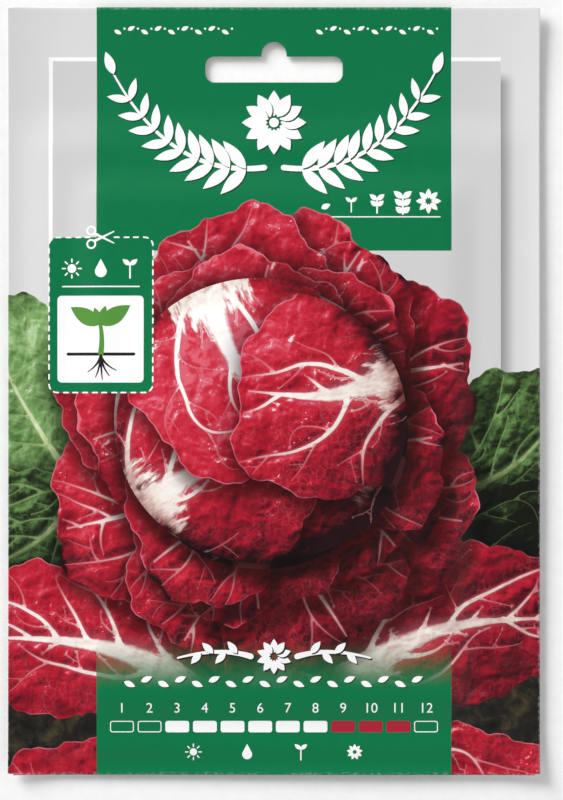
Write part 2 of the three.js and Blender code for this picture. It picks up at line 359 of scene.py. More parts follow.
def nearestOn(points, starts, ends, widths=None):
    # the nearest segment to each point; with widths, the nearest in shares of its width
    best = np.zeros(len(points), int)
    distance, share = np.zeros(len(points)), np.zeros(len(points))
    miss = np.zeros((len(points), 2))
    for first in range(0, len(points), batch):
        some = slice(first, first + batch)
        d, s, m = segmentDistance(points[some], starts, ends)
        score = d if widths is None else d / (widths[0] + s * (widths[1] - widths[0]))
        pick = score.argmin(1)
        row = np.arange(len(pick))
        best[some] = pick
        distance[some], share[some], miss[some] = d[row, pick], s[row, pick], m[row, pick]
    return best, distance, share, miss


# How finely the sheet is meshed
meshPitch = {
    "outline": 1.4,
    "print": 1.8,
    "picture": 1.35,
    "header": 2.2,
    "back": 2.6,
    "inner": 2.4,
    "besideVein": 0.6,
}


# The print: a stack of shapes on the blank, later ones over earlier ones
inks = {
    "paper": (246, 246, 244),
    "field": (223, 223, 223),
    "panel": (212, 212, 212),
    "frame": (255, 255, 255),
    "panelShadow": None,  # an ink without a colour has a shader of its own
    "green": (0, 119, 72),
    "deepGreen": (0, 66, 42),
    "white": (255, 255, 255),
    "black": (30, 30, 31),
    "sprout": (88, 150, 62),
    "amber": (233, 168, 52),
    "harvest": (176, 33, 54),
    "rule": (176, 178, 176),
    "ground": None,
    "crimson": None,
    "foliage": None,
}
inkNames = list(inks)
stack = []  # each is a loop, the name of its ink, and the leaf that it shows if any


def printShape(loop, ink, leaf=None):
    if loop is not None and len(loop) > 2:
        stack.append((subdivide(loop, meshPitch["print"]), ink, leaf))


def printAll(loops, ink, shift=(0, 0)):
    for loop in loops:
        printShape(loop + np.array(shift), ink)


def printRaised(loops, shade="deepGreen", drop=0.32):
    # white shapes, each over a shade that falls to its lower right
    for loop in loops:
        printShape(loop + np.array([drop, -drop]), shade)
        printShape(loop, "white")


def topmost(points, shapes):
    found = np.full(len(points), -1)
    for i, (loop, ink, leaf) in enumerate(shapes):
        found[inside(points, loop)] = i
    return found


def numberLoops(text, size, x, y):
    curve = bpy.data.curves.new("number", "FONT")
    curve.body, curve.size = text, size
    curve.align_x, curve.align_y = "CENTER", "CENTER"
    holder = bpy.data.objects.new("number", curve)
    bpy.context.scene.collection.objects.link(holder)
    bpy.context.view_layer.update()
    traced = holder.to_curve(bpy.context.evaluated_depsgraph_get())
    loops = []
    for spline in traced.splines:
        knots = spline.bezier_points
        points = []
        for a, b in zip(knots, list(knots[1:]) + [knots[0]]):
            straight = (a.handle_right - a.co).cross(b.co - a.co).length < 1e-4
            knobs = a.co, a.handle_right, b.handle_left, b.co
            points += geometry.interpolate_bezier(*knobs, 2 if straight else 5)[:-1]
        loops.append(np.array([(p.x, p.y) for p in points]) + np.array([x, y]))
    holder.to_curve_clear()
    bpy.data.objects.remove(holder)
    bpy.data.curves.remove(curve)
    return loops


def turning(loop):
    # 1 for a loop that runs counterclockwise, -1 for the other way
    x, y = loop.T
    return np.sign((x * np.roll(y, -1) - np.roll(x, -1) * y).sum())


def printNumber(text, size, x, y, ink, under, shift=(0, 0)):
    # a figure's outlines, then the holes in them, which turn the other way
    loops = numberLoops(text, size, x, y)
    way = turning(max(loops, key=lambda loop: np.ptp(loop, axis=0).prod()))
    printAll([loop for loop in loops if turning(loop) == way], ink, shift)
    printAll([loop for loop in loops if turning(loop) != way], under, shift)


def printBox(x, y, box, ink, inner=None, shift=(0, 0)):
    # a month's box: filled, or a line round an inner ink
    half, high, corner = box["half"], box["high"], box["corner"]
    printAll([roundedRectangle(x - half, y - high, x + half, y + high, corner, 3)], ink, shift)
    if inner:
        half, high = half - box["line"], high - box["line"]
        hollow = roundedRectangle(x - half, y - high, x + half, y + high, box["innerCorner"], 3)
        printAll([hollow], inner, shift)


# Icons, whose parts are shares of the icon's size
def sunIcon(x, y, size):
    rays = []
    for turn in np.linspace(0, 2 * math.pi, 8, endpoint=False):
        reaches = (0.68 * size, 0.98 * size)
        ends = [(x + math.cos(turn) * reach, y + math.sin(turn) * reach) for reach in reaches]
        rays.append(stroke(ends, size * 0.15))
    return [disc(x, y, size * 0.46, 16)] + rays


def dropIcon(x, y, size):
    tip = [(x, y + size)]
    return [loopOf(tip + arc(x, y - size * 0.3, size * 0.62, 25, -205, 14))]


def sproutIcon(x, y, size, pairs=1):
    shapes = [stroke([(x, y - size), (x, y + size * 0.5)], size * 0.17)]
    for i in range(pairs):
        low = y + size * (0.35 - 0.62 * i)
        long = size * (0.98 - 0.1 * i)
        shapes += [almond(x, low, long, size * 0.52, turn) for turn in (38, 142)]
    return shapes


def rosetteIcon(x, y, size, petals=9):
    reach = size * 0.2
    shapes = []
    for turn in np.linspace(90, 450, petals, endpoint=False):
        c, s = math.cos(math.radians(turn)), math.sin(math.radians(turn))
        shapes.append(almond(x + reach * c, y + reach * s, size * 0.8, size * 0.42, turn))
    return shapes


# The front's print, in packet coordinates
front = {
    "blockHalf": 46.2,
    "headerLow": 36.5,
    "frameLeft": -58.7,
    "frameTop": 87.0,
    "frameLine": 1.05,
    "panelRight": 59.1,
    "panelShadow": 4.2,
    "shadowDrop": 3.2,
    "shadowFade": 4,
    "fadeTop": -64.0,
    "solidTop": -77.9,
    "pastSide": 3,  # how far the fields run on past the folds
    "pastEnd": 4,
}


def printFrontField():
    edge, end = halfWidth + front["pastSide"], sleeveEnd + front["pastEnd"]
    left, top, right, line = (front[name] for name in ("frameLeft", "frameTop", "panelRight", "frameLine"))
    shadowRight, shadowTop = right + front["panelShadow"], top - front["shadowDrop"]
    printShape(rectangle(-edge, -end, edge, end), "field")
    printShape(rectangle(right - 0.3, -halfHeight, shadowRight, shadowTop), "panelShadow")
    printShape(rectangle(left, -halfHeight, right, top), "frame")
    printShape(rectangle(left + line, -halfHeight, right, top - line), "panel")


header = {
    "sprig": ((2.5, 58.2), (27, 55.2), (42.0, 83.0)),  # its start, bend and tip on the right side
    "sprigWidth": (1.5, 0.5),
    "pairs": 9,
    "firstPair": 0.10,
    "pairPitch": 0.095,
    "leafLong": 9.4,
    "leafShrink": 0.42,
    "leafWide": 0.34,
    "leafTurns": (-46, 50),
    "bud": (41.8, 82.6, 6.2, 2.6),
    "flower": (0, 70.0, 8.4, 12),
    "flowerEye": 1.25,
    "stageX": 13.4,
    "stageY": 48.2,
    "stagePitch": 6.7,
    "rule": (10.8, 43.2, 45.3),
    "rows": ((-42.0, -10.5), (10.5, 43.0)),
    "rowY": 94.0,
    "rowPitch": 3.5,
}


def printHeader():
    half, top = front["blockHalf"], endFold + packet["topFlap"] + front["pastEnd"]
    printShape(rectangle(-half, front["headerLow"], half, top), "green")
    for side in (-1, 1):
        knots = [(side * x, y) for x, y in header["sprig"]]
        printRaised([stroke(bezier(*knots, 30), *header["sprigWidth"])])
        line = bezier(*knots, 100)
        for i in range(header["pairs"]):
            place = int((header["firstPair"] + header["pairPitch"] * i) * 100)
            x, y = line[place]
            way = math.degrees(math.atan2(*(line[place + 1] - line[place])[::-1]))
            long = header["leafLong"] - header["leafShrink"] * i
            printRaised([almond(x, y, long, long * header["leafWide"], way + turn * side, 9)
                         for turn in header["leafTurns"]])
        x, y, long, wide = header["bud"]
        printRaised([almond(x * side, y, long, wide, 90 - 20 * side)])
    printRaised(rosetteIcon(*header["flower"]))
    printRaised([disc(*header["flower"][:2], header["flowerEye"])])
    # a seed, three seedlings and a flower on a line
    x, y, pitch = header["stageX"], header["stageY"], header["stagePitch"]
    printAll([almond(x - 1.1, y - 0.7, 2.6, 1.5, 25)], "white")
    for i in (1, 2, 3):
        printAll(sproutIcon(x + pitch * i, y + 0.3 * i, 1.4 + 0.55 * i, i), "white")
    printAll(rosetteIcon(x + pitch * 4, y + 1.2, 3.3, 8), "white")
    start, end, low = header["rule"]
    printShape(stroke([(start, low), (end, low)], 0.3), "white")
    for start, end in header["rows"]:
        count = int((end - start) / header["rowPitch"])
        for i in range(count):
            x, y = start + (i + 0.5) * (end - start) / count, header["rowY"]
            turn = 28 if i % 2 else -28
            printAll([almond(x - 1.35, y, 2.1, 1.05, turn), disc(x + 1.3, y + 0.4, 0.3, 8)], "white")


tag = {
    "x0": -58.6,
    "x1": -31.5,
    "y0": -0.4,
    "y1": 40.0,
    "corner": 2.1,
    "dash": 1.6,
    "gap": 0.9,
    "line": 0.4,
    "scissorsRoom": 3.4,
    "icon": 2.5,
    "iconY": 31.9,
    "iconPitch": 7.6,
    "rule": (10, 27.2),
    "window": (2.2, 2.2, 2.4, 24.8),  # in from the left, low edge, in from the right, top
    "soilY": 9.6,
    "soilHalf": 8.6,
    "seedLeaves": ((33, 9.4), (149, 9.0), (74, 5.2), (108, 4.8)),
    "roots": ((-3.4, 4.2), (-1.4, 5.6), (0.4, 6.2), (2.2, 5.2), (4.0, 3.8)),
}


def printTag():
    x0, x1, y0, y1 = tag["x0"], tag["x1"], tag["y0"], tag["y1"]
    outline = roundedRectangle(x0, y0, x1, y1, tag["corner"], 6)
    printShape(outline, "green")
    middle, fine = (x0 + x1) / 2, 0.2
    walk = resample(outline, fine)
    count = int(len(walk) * fine / (tag["dash"] + tag["gap"]))
    for i in range(count):
        first = int(i * len(walk) / count)
        dash = walk[first:first + int(tag["dash"] / fine)][::2]
        underScissors = dash[0][1] > y1 - 0.5 and abs(dash[0][0] - middle - 1) < tag["scissorsRoom"]
        if len(dash) > 2 and not underScissors:
            printShape(stroke(dash, tag["line"]), "white")
    # scissors on the cutting line
    x = middle - 0.6
    for side in (-1, 1):
        blade = stroke([(x - 1.0, y1 + 0.95 * side), (x + 4.0, y1 - 1.5 * side)], 0.75, 0.3)
        printAll([ring(x - 1.9, y1 + 1.75 * side, 1.3, 0.46, 16), blade], "white")
    for place, icon in enumerate((sunIcon, dropIcon, sproutIcon)):
        printAll(icon(middle + tag["iconPitch"] * (place - 1), tag["iconY"], tag["icon"]), "white")
    half, y = tag["rule"]
    printShape(stroke([(middle - half, y), (middle + half, y)], 0.35), "white")
    left, low, right, top = tag["window"]
    printShape(roundedRectangle(x0 + left, low, x1 - right, top, 1.1), "white")
    # a seedling with its roots
    y, half = tag["soilY"], tag["soilHalf"]
    printShape(stroke([(middle - half, y), (middle + half, y)], 0.8), "black")
    stem = bezier((middle, y + 0.2), (middle + 0.6, y + 4.4), (middle - 0.2, y + 8))
    printShape(stroke(stem, 1.5, 0.9), "sprout")
    x, top = middle - 0.2, y + 7.6
    printAll([almond(x, top, long, long * 0.46, turn, 9) for turn, long in tag["seedLeaves"]], "sprout")
    for lean, long in tag["roots"]:
        top = y - 0.4
        root = bezier((middle, top), (middle + lean * 0.2, top - long * 0.6), (middle + lean, top - long))
        printShape(stroke(root, 0.75, 0.25), "black")


months = {
    "first": -39.6,
    "pitch": 7.2,
    "number": 3.7,
    "numberY": -82.6,
    "boxY": -87.4,
    "box": {"half": 3.1, "high": 1.5, "corner": 0.6, "line": 0.25, "innerCorner": 0.4},
    "sow": (3, 4, 5, 6, 7, 8),
    "pick": (9, 10, 11),
}

band = {
    "flower": (0, -69.0, 4.6, 10),
    "swash": ((6.0, -69.0), (14, -66.4), (25, -69.4)),
    "swashWidth": (1.5, 0.5),
    "leaves": ((9.6, 52), (12.6, -48), (15.8, 44), (19.0, -50)),
    "rowFirst": -37.4,
    "rowPitch": 4.4,
    "rowCount": 18,
    "rowY": -75.6,
    "iconY": -94.0,
    "iconPitch": 14,
    "icon": 2.1,
}


def printBand():
    half = front["blockHalf"]
    printShape(rectangle(-half, -sleeveEnd - front["pastEnd"], half, front["solidTop"]), "green")
    printRaised(rosetteIcon(*band["flower"]), "black", 0.38)
    for side in (-1, 1):
        swash = bezier(*((side * x, y) for x, y in band["swash"]))
        printRaised([stroke(swash, *band["swashWidth"])], "black", 0.38)
        for x, turn in band["leaves"]:
            low = -67.9 if turn < 0 else -68.2
            printRaised([almond(side * x, low, 4.0, 1.8, turn if side > 0 else 180 - turn)], "black", 0.3)
    for i in range(band["rowCount"]):
        x = band["rowFirst"] + band["rowPitch"] * i
        printRaised([almond(x - 1.6, band["rowY"], 3.2, 1.5, 24 if i % 2 else -24)], drop=0.25)
    for month in range(1, 13):
        x = months["first"] + months["pitch"] * (month - 1)
        printNumber(str(month), months["number"], x, months["numberY"], "white", "green")
        chosen = month in months["sow"] or month in months["pick"]
        ink = "harvest" if month in months["pick"] else "white"
        printBox(x, months["boxY"], months["box"], ink, None if chosen else "green")
    for place, icon in enumerate((sunIcon, dropIcon, sproutIcon, rosetteIcon)):
        printAll(icon(band["iconPitch"] * (place - 1.5), band["iconY"], band["icon"]), "white")


# The pictured head, seen from above
head = {
    "x": -2.0,
    "y": -11.5,
    "light": (-0.58, 0.81),
    "reach": 62,
    "ballX": -3.0,
    "ballY": -8.5,
    "ballRadius": 37,
    "rimIn": 2.2,
    "rimStep": 0.6,
    "rimAside": 2.6,
    "rimWaves": (0.022, 0.012),
    "beyond": 12,  # the feet of the leaves that wrap the ball lie this far past its horizon
}

# Its leaves, the lowest first: base, tip, width, bend, rib, seed, blanched share, tone, shade
foliageLeaves = [
    ((-40, -34), (-74, 24), 50, 0.1, 2.4, 3, 0.05, 0.7, -0.05),
    ((-46, -20), (-84, -50), 44, 0.1, 2.2, 4, 0.05, -0.2, -0.3),
    ((36, -30), (80, 2), 46, -0.12, 2.2, 5, 0.05, 0.2, -0.22),
    ((40, -40), (84, -56), 44, 0.1, 2.0, 6, 0.05, -0.4, -0.5),
]
looseLeaves = [
    ((-16, -82), (-82, -66), 40, -0.12, 8.5, 7, 0.34, 0.3, 0.0),
    ((-10, -92), (-74, -108), 36, 0.1, 7, 8, 0.3, -0.2, -0.06),
    ((14, -80), (80, -60), 40, 0.12, 8.5, 9, 0.36, 0.1, -0.04),
    ((14, -96), (78, -104), 38, -0.1, 7, 10, 0.3, 0.4, 0.0),
    ((0, -58), (-6, -112), 46, 0.05, 9, 11, 0.4, 0.0, 0.0),
]
# then rings round the middle: direction, reach and width of each leaf
outerLeaves = [(205, 60, 50), (337, 58, 50), (20, 57, 52), (158, 59, 54),
               (248, 60, 52), (292, 59, 54), (62, 56, 54), (112, 57, 56)]
innerLeaves = [(182, 47, 46), (318, 46, 46), (268, 47, 48), (228, 46, 44),
               (0, 45, 46), (42, 45, 46), (135, 46, 48), (88, 46, 46)]
# and the closed heart: direction it comes from, how far past the middle it runs, width, how far aside it ends
wrapLeaves = [(78, 22, 66, 6), (262, 22, 66, -6), (170, 16, 62, 8), (338, 15, 62, -8), (218, 9, 58, 9),
              (112, 8, 56, -8), (20, 3, 54, 10)]


def polar(degrees, reach, x=head["x"], y=head["y"]):
    turn = math.radians(degrees)
    return np.array([x + reach * math.cos(turn), y + reach * math.sin(turn)])


def leaf(base, tip, width, bend, rib, seed, blanch, tone, shade=0.0, **more):
    shape = {
        "ink": "crimson",
        "skew": 0.85,
        "power": 0.72,
        "neck": 0.45,
        "frill": 1.0,
        "ball": None,
        "curl": 0.8,
        "crest": 0.75,
        "pitch": 8.5,
    }
    shape.update(base=np.array(base, float), tip=np.array(tip, float), width=width, bend=bend, rib=rib,
                 seed=seed, blanch=blanch, tone=tone, shade=shade, **more)
    return shape


def ballRim(direction, i):
    # the part of the heart's round outline that one wrapping leaf fills, a little off for each
    turns = np.linspace(0, 2 * math.pi, 90, endpoint=False)
    reach = head["ballRadius"] - head["rimIn"] + head["rimStep"] * (i % 3)
    wide, fine = head["rimWaves"]
    reach = reach * (1 + wide * np.sin(2 * turns + 2.6) + fine * np.sin(3 * turns + i))
    x, y = polar(direction, head["rimAside"], head["ballX"], head["ballY"])
    return np.stack([x + reach * np.cos(turns), y + reach * np.sin(turns)], 1)


def leafList():
    leaves = [leaf(*row, ink="foliage") for row in foliageLeaves] + [leaf(*row) for row in looseLeaves]
    for i, (turn, reach, width) in enumerate(outerLeaves):
        leaves.append(leaf(polar(turn, 6), polar(turn, reach), width, 0.06 * (-1) ** i, 6.5, 20 + i, 0.3,
                           0.5 * math.sin(i * 2.3), neck=0.55))
    for i, (turn, reach, width) in enumerate(innerLeaves):
        leaves.append(leaf(polar(turn, 4), polar(turn, reach), width, -0.07 * (-1) ** i, 6.0, 40 + i, 0.32,
                           0.5 * math.cos(i * 1.9), neck=0.6))
    x, y, past = head["ballX"], head["ballY"], head["ballRadius"] + head["beyond"]
    for i, (turn, reach, width, aside) in enumerate(wrapLeaves):
        tip = polar(turn + 180, reach, x, y) + aside * polar(turn + 90, 1, 0, 0)
        leaves.append(leaf(polar(turn, past, x, y), tip, width, 0.08 * (-1) ** i, 10.5, 60 + i, 0.36,
                           0.4 * math.sin(i * 1.7), ball=ballRim(turn, i), frill=0.85, neck=0.95, skew=0.95,
                           power=0.5, pitch=9.5))
    return leaves


growth = {
    "marginStep": 0.95,
    "frills": ((27, 1.1), (12, 0.6), (6.3, 0.28), (3.4, 0.14)),  # length and height of each wave
    "ribEnd": 0.95,
    "ribStep": 1.4,
    "ribWave": 0.5,
    "ribFoot": 0.2,
    "veinStep": 1.3,
    "veinGap": 1.5,  # a vein ends this near to another one
    "veinStart": 2.2,  # but not near to those at its own start
    "veinLean": (46, 60),
    "forkLean": (32, 52),
    "forkLong": (7, 19),
    "twigLean": (40, 60),
    "twigLong": (4, 8),
}


def growLeaf(shape):
    rng = np.random.default_rng(shape["seed"])
    base, tip = shape["base"], shape["tip"]
    way = tip - base
    side = np.array([-way[1], way[0]])
    spine = bezier(base, (base + tip) / 2 + side * shape["bend"] * 2, tip, 60)
    run = np.concatenate([[0], np.cumsum(np.linalg.norm(np.diff(spine, axis=0), axis=1))])
    along = np.gradient(spine, axis=0)
    along /= np.linalg.norm(along, axis=1)[:, None]
    across = np.stack([-along[:, 1], along[:, 0]], 1)
    length = run[-1]

    def at(share, values):
        return np.stack([np.interp(share * length, run, values[:, i]) for i in (0, 1)], -1)

    def halfAt(share):
        turn = np.arccos(np.clip(1 - 2 * np.clip(share, 0, 1) ** (1 / shape["skew"]), -1, 1))
        neck = shape["neck"] + (1 - shape["neck"]) * smooth(share, 0, 0.5)
        return shape["width"] / 2 * np.sin(turn) ** shape["power"] * neck

    # the margin, frilled in waves of several lengths
    turn = np.linspace(0, 2 * math.pi, 240, endpoint=False)
    share = ((1 - np.cos(turn)) / 2) ** shape["skew"]
    half = halfAt(share) * np.sign(np.sin(turn) + 1e-12)
    step = growth["marginStep"]
    margin = resample(at(share, spine) + at(share, across) * half[:, None], step)
    steps = np.roll(margin, -1, 0) - np.roll(margin, 1, 0)
    outward = np.stack([steps[:, 1], -steps[:, 0]], 1) * turning(margin)
    outward /= np.linalg.norm(outward, axis=1)[:, None]
    place, around = np.arange(len(margin)) * step, len(margin) * step
    frill = np.zeros(len(margin))
    for wave, height in growth["frills"]:
        turns = max(round(around / wave), 1)
        frill += height * np.sin(2 * math.pi * turns * place / around + rng.uniform(0, 6.28))
    margin = margin + outward * (frill * shape["frill"])[:, None]

    veins = []  # each is rows of x, y and half width

    def addVein(points, start, end):
        widths = end + (start - end) * (1 - np.linspace(0, 1, len(points))) ** 0.8
        veins.append(np.column_stack([points, widths]))

    def grow(start, heading, limit, bendBack, wander):
        # a vein walks on until it nears another one or the leaf's margin
        points, lean, step = [start], 0.0, growth["veinStep"]
        others = np.vstack([vein[:, :2] for vein in veins])
        others = others[np.linalg.norm(others - start, axis=1) > growth["veinStart"]]
        while len(points) * step < limit:
            lean = 0.75 * lean + rng.normal(0, wander)
            heading = heading + bendBack + lean
            ahead = points[-1] + step * np.array([math.cos(heading), math.sin(heading)])
            if not inside(ahead[None], margin)[0]:
                break
            if len(others) and np.linalg.norm(others - ahead, axis=1).min() < growth["veinGap"]:
                break
            points.append(ahead)
        return np.array(points)

    def branchWay(points, i, side, spread):
        x, y = points[i + 1] - points[i]
        return math.atan2(y, x) + side * math.radians(rng.uniform(*spread))

    def addForks(points):
        fork, flip = int(rng.uniform(3, 5)), 1
        while fork < len(points) - 3:
            way = branchWay(points, fork, flip, growth["forkLean"])
            branch = grow(points[fork], way, rng.uniform(*growth["forkLong"]), -flip * 0.03, 0.08)
            if len(branch) > 3:
                addVein(branch, 0.19, 0.05)
                half = len(branch) // 2
                way = branchWay(branch, half - 1, -flip, growth["twigLean"])
                twig = grow(branch[half], way, rng.uniform(*growth["twigLong"]), 0, 0.09)
                if len(twig) > 3:
                    addVein(twig, 0.1, 0.035)
            fork += int(rng.uniform(4, 8))
            flip = -flip

    ribEnd = growth["ribEnd"]
    ribShare = np.linspace(0, ribEnd, int(length / growth["ribStep"]))
    wave = growth["ribWave"] * np.sin(ribShare * 9 + rng.uniform(0, 6))
    rib = at(ribShare, spine) + at(ribShare, across) * wave[:, None]
    widths = growth["ribFoot"] + shape["rib"] / 2 * (1 - ribShare / ribEnd) ** 1.7
    veins.append(np.column_stack([rib, widths]))
    for direction in (-1, 1):
        place = length * 0.1 + rng.uniform(0, 1) * shape["pitch"] * 0.6
        while place < length * 0.9:
            share = place / length
            heading = math.atan2(*at(share, along)[::-1])
            lean = math.radians(rng.uniform(*growth["veinLean"]) - 16 * share)
            points = grow(at(share, spine), heading + direction * lean, 60, -direction * 0.022, 0.05)
            if len(points) > 4:
                strength = 0.35 + 0.45 * (1 - share) * rng.uniform(0.8, 1.2)
                addVein(points, 0.72 * strength * shape["rib"] / 6.5, 0.07)
                addForks(points)
            place += shape["pitch"] * rng.uniform(0.75, 1.25)
    loop = margin if shape["ball"] is None else resample(clipLoop(margin, shape["ball"]), 1.0)
    shape.update(spine=spine, run=run, along=along, across=across, length=length, halfAt=halfAt,
                 margin=margin, loop=loop, veins=veins)
    return shape


# How bright the picture's leaves are, from 0 to about 1
shading = {
    "ball": 0.66,
    "ballSide": 0.34,
    "ballLimb": 0.34,
    "ballRim": 0.3,
    "ballMargin": 0.08,
    "blade": 0.56,
    "bladeLean": 0.4,
    "bladeTip": 0.16,
    "tone": 0.09,
    "wholeHead": 0.13,
    "shadows": ((2.6, 4.5, 0.72), (0.0, 6.5, 0.5)),  # shift, falloff and strength
}


def shadeOf(points, above):
    # how much the leaves above darken each point, with a cast and a close shadow
    light, lit = np.array(head["light"]), np.ones(len(points))
    for other in above:
        low, high = other["loop"].min(0) - 9, other["loop"].max(0) + 9
        near = np.flatnonzero(((points > low) & (points < high)).all(1))
        if len(near):
            edges = other["loop"], np.roll(other["loop"], -1, 0)
            for shift, falloff, strength in shading["shadows"]:
                seen = points[near] + light * shift
                gap = nearestOn(seen, *edges)[1]
                gap = np.where(inside(seen, other["loop"]), -gap, gap)
                lit[near] *= 1 - strength * (1 - smooth(gap, -0.6, falloff))
    return 1 - lit


def paintLeaf(shape, points, above):
    # what the leaf's shader reads at each of these points
    segment, distance, share, miss = nearestOn(points, shape["spine"][:-1], shape["spine"][1:])
    u = shape["run"][segment] + share * (shape["run"][segment + 1] - shape["run"][segment])
    v = distance * np.sign((miss * shape["across"][segment]).sum(1) + 1e-12)
    first = np.vstack([vein[:-1] for vein in shape["veins"]])
    last = np.vstack([vein[1:] for vein in shape["veins"]])
    pick, reach, part, away = nearestOn(points, first[:, :2], last[:, :2], (first[:, 2], last[:, 2]))
    width = first[pick, 2] + part * (last[pick, 2] - first[pick, 2])
    ratio, bold = reach / width, smooth(width, 0.08, 0.5)
    light = np.array(head["light"])
    towards = -(away @ light) / np.maximum(reach, 1e-6)
    beyond = reach - width
    pucker = towards * smooth(beyond, -0.1, 0.9) * (1 - smooth(beyond, 1.4, 4.5))
    edge = nearestOn(points, shape["margin"], np.roll(shape["margin"], -1, 0))[1]
    part = u / shape["length"]
    cross = v / np.maximum(shape["halfAt"](part), 1.0)
    if shape["ball"] is not None:
        gap = (points - np.array([head["ballX"], head["ballY"]])) / (head["ballRadius"] * 1.03)
        limb = shading["ballLimb"] * (gap**2).sum(1) ** 2.5
        limb = limb + shading["ballRim"] * smooth(np.linalg.norm(gap, axis=1), 0.84, 1.0)
        bright = shading["ball"] + shading["ballSide"] * gap @ light - limb
        bright = bright + shading["ballMargin"] * np.exp(-((edge - 2.2) / 1.6) ** 2)
    else:
        lean = shape["crest"] * 0.5 * cross[:, None] * shape["across"][segment]
        lean = lean + (shape["curl"] * (part - 0.5))[:, None] * shape["along"][segment]
        bright = shading["blade"] + shading["bladeLean"] * lean @ light
        bright = bright - shading["bladeTip"] * smooth(part, 0.85, 1.0)
    # the whole head is brighter towards its light
    aside = np.clip((points - polar(0, 0)) @ light / head["reach"], -1, 1)
    bright = bright + shape["shade"] + shading["tone"] * shape["tone"] + shading["wholeHead"] * aside
    blanch = 1 - smooth(part + 0.35 * np.abs(cross), shape["blanch"] - 0.18, shape["blanch"] + 0.2)
    place = np.stack([u, v, blanch], 1)
    vein = np.stack([ratio, pucker, edge], 1)
    return place, vein, np.stack([bright, shadeOf(points, above), bold], 1)


picture = {
    "pastSide": 0.35,  # it ends just past the side folds
    "pastEnd": 0.6,
    "top": 60,
    "groundLeft": 2,
    "groundRight": -8,
    "ground": [(60, -4), (50, -9), (30, -14), (0, -16), (-30, -6), (-52, 6), (-60, 8)],
}


def printPicture():
    rim, low = halfWidth + picture["pastSide"], -sleeveEnd - picture["pastEnd"]
    line = [(rim, picture["groundRight"]), *picture["ground"], (-rim, picture["groundLeft"])]
    printShape(loopOf([(-rim, low), (rim, low), *line]), "ground")
    leaves = [growLeaf(shape) for shape in leafList()]
    for shape in leaves:
        printShape(clipLoop(shape["loop"], rectangle(-rim, low, rim, picture["top"])), shape["ink"], shape)
    return leaves


# The back's print, placed from the back panel's middle, as seen from behind
back = {
    "half": 62,
    "corner": 2.2,
    "bar": (50, 64),
    "sprig": ((8, 57), (26, 54), (52, 59)),
    "sprigWidth": (0.9, 0.4),
    "pairs": 9,
    "firstPair": 2,
    "pairPitch": 2.4,
    "leaf": (5.0, 2.1),
    "leafTurn": 38,
    "flower": (0, 57, 5.4, 12),
    "first": -46,
    "pitch": 9,
    "number": 5,
    "numberY": 42.5,
    "sowY": 34.5,
    "pickY": 27.5,
    "box": {"half": 4.2, "high": 2.9, "corner": 0.5, "line": 0.25, "innerCorner": 0.4},
    "keyX": -57,
    "discs": {"first": -46.5, "pitch": 31, "y": 5, "radius": 9.5, "icon": 5},
    "notes": (-74, -16),
    "notesLine": 0.6,
    "notesCorner": 1.8,
    "rules": {"count": 6, "first": -26, "pitch": -8, "half": 56, "line": 0.3},
}


def printBack():
    shift = (rightFold + rightAxis, 0)
    half, (low, high) = back["half"], back["bar"]
    printAll([roundedRectangle(-half, low, half, high, back["corner"])], "green", shift)
    for side in (-1, 1):
        stem = bezier(*((side * x, y) for x, y in back["sprig"]), 24)
        sprig = [stroke(stem, *back["sprigWidth"])]
        for i in range(back["pairs"]):
            x, y = stem[back["firstPair"] + int(i * back["pairPitch"])]
            way = 0 if side > 0 else 180
            for turn in (-back["leafTurn"], back["leafTurn"]):
                sprig.append(almond(x, y, *back["leaf"], way + turn * side))
        printAll(sprig, "white", shift)
    printAll(rosetteIcon(*back["flower"]), "white", shift)
    for month in range(1, 13):
        x = back["first"] + back["pitch"] * (month - 1)
        printNumber(str(month), back["number"], x, back["numberY"], "green", "paper", shift)
        rows = (back["sowY"], months["sow"], "amber"), (back["pickY"], months["pick"], "harvest")
        for y, chosen, ink in rows:
            if month in chosen:
                printBox(x, y, back["box"], ink, None, shift)
            else:
                printBox(x, y, back["box"], "rule", "paper", shift)
    printAll(sproutIcon(back["keyX"], back["sowY"] - 0.2, 2.6), "green", shift)
    printAll(rosetteIcon(back["keyX"], back["pickY"], 3.0, 8), "harvest", shift)
    discs = back["discs"]
    for i, icon in enumerate((sunIcon, dropIcon, sproutIcon, rosetteIcon)):
        x = discs["first"] + discs["pitch"] * i
        printAll([disc(x, discs["y"], discs["radius"], 36)], "green", shift)
        printAll(icon(x, discs["y"], discs["icon"]), "white", shift)
    (low, high), line, rules = back["notes"], back["notesLine"], back["rules"]
    printAll([roundedRectangle(-half, low, half, high, back["corner"])], "green", shift)
    inner = roundedRectangle(line - half, low + line, half - line, high - line, back["notesCorner"])
    printAll([inner], "paper", shift)
    for i in range(rules["count"]):
        y = rules["first"] + rules["pitch"] * i
        printAll([stroke([(-rules["half"], y), (rules["half"], y)], rules["line"])], "rule", shift)


foldMesh = {
    "short": 0.3,  # a fold's lines stop this short of the paper's edge
    "before": 0.6,  # one more line at each side of a fold, as a share of it
    "sideSteps": 90,
    "endSteps": 70,
}


# The blank's outline, holes and folds
def slotLoop():
    half, r, hump = slot["width"] / 2, slot["corner"], slot["humpWidth"] / 2
    top = halfHeight - slot["drop"]
    barTop = top - slot["hump"]
    low = barTop - slot["bar"]
    points = arc(half - r, low + r, r, -90, 0, 8) + arc(half - r, barTop - r, r, 0, 90, 8)
    points += [(hump, barTop)] + arc(0, top - hump, hump, 0, 180, 18) + [(-hump, barTop)]
    points += arc(-half + r, barTop - r, r, 90, 180, 8) + arc(-half + r, low + r, r, 180, 270, 8)
    return loopOf(points)


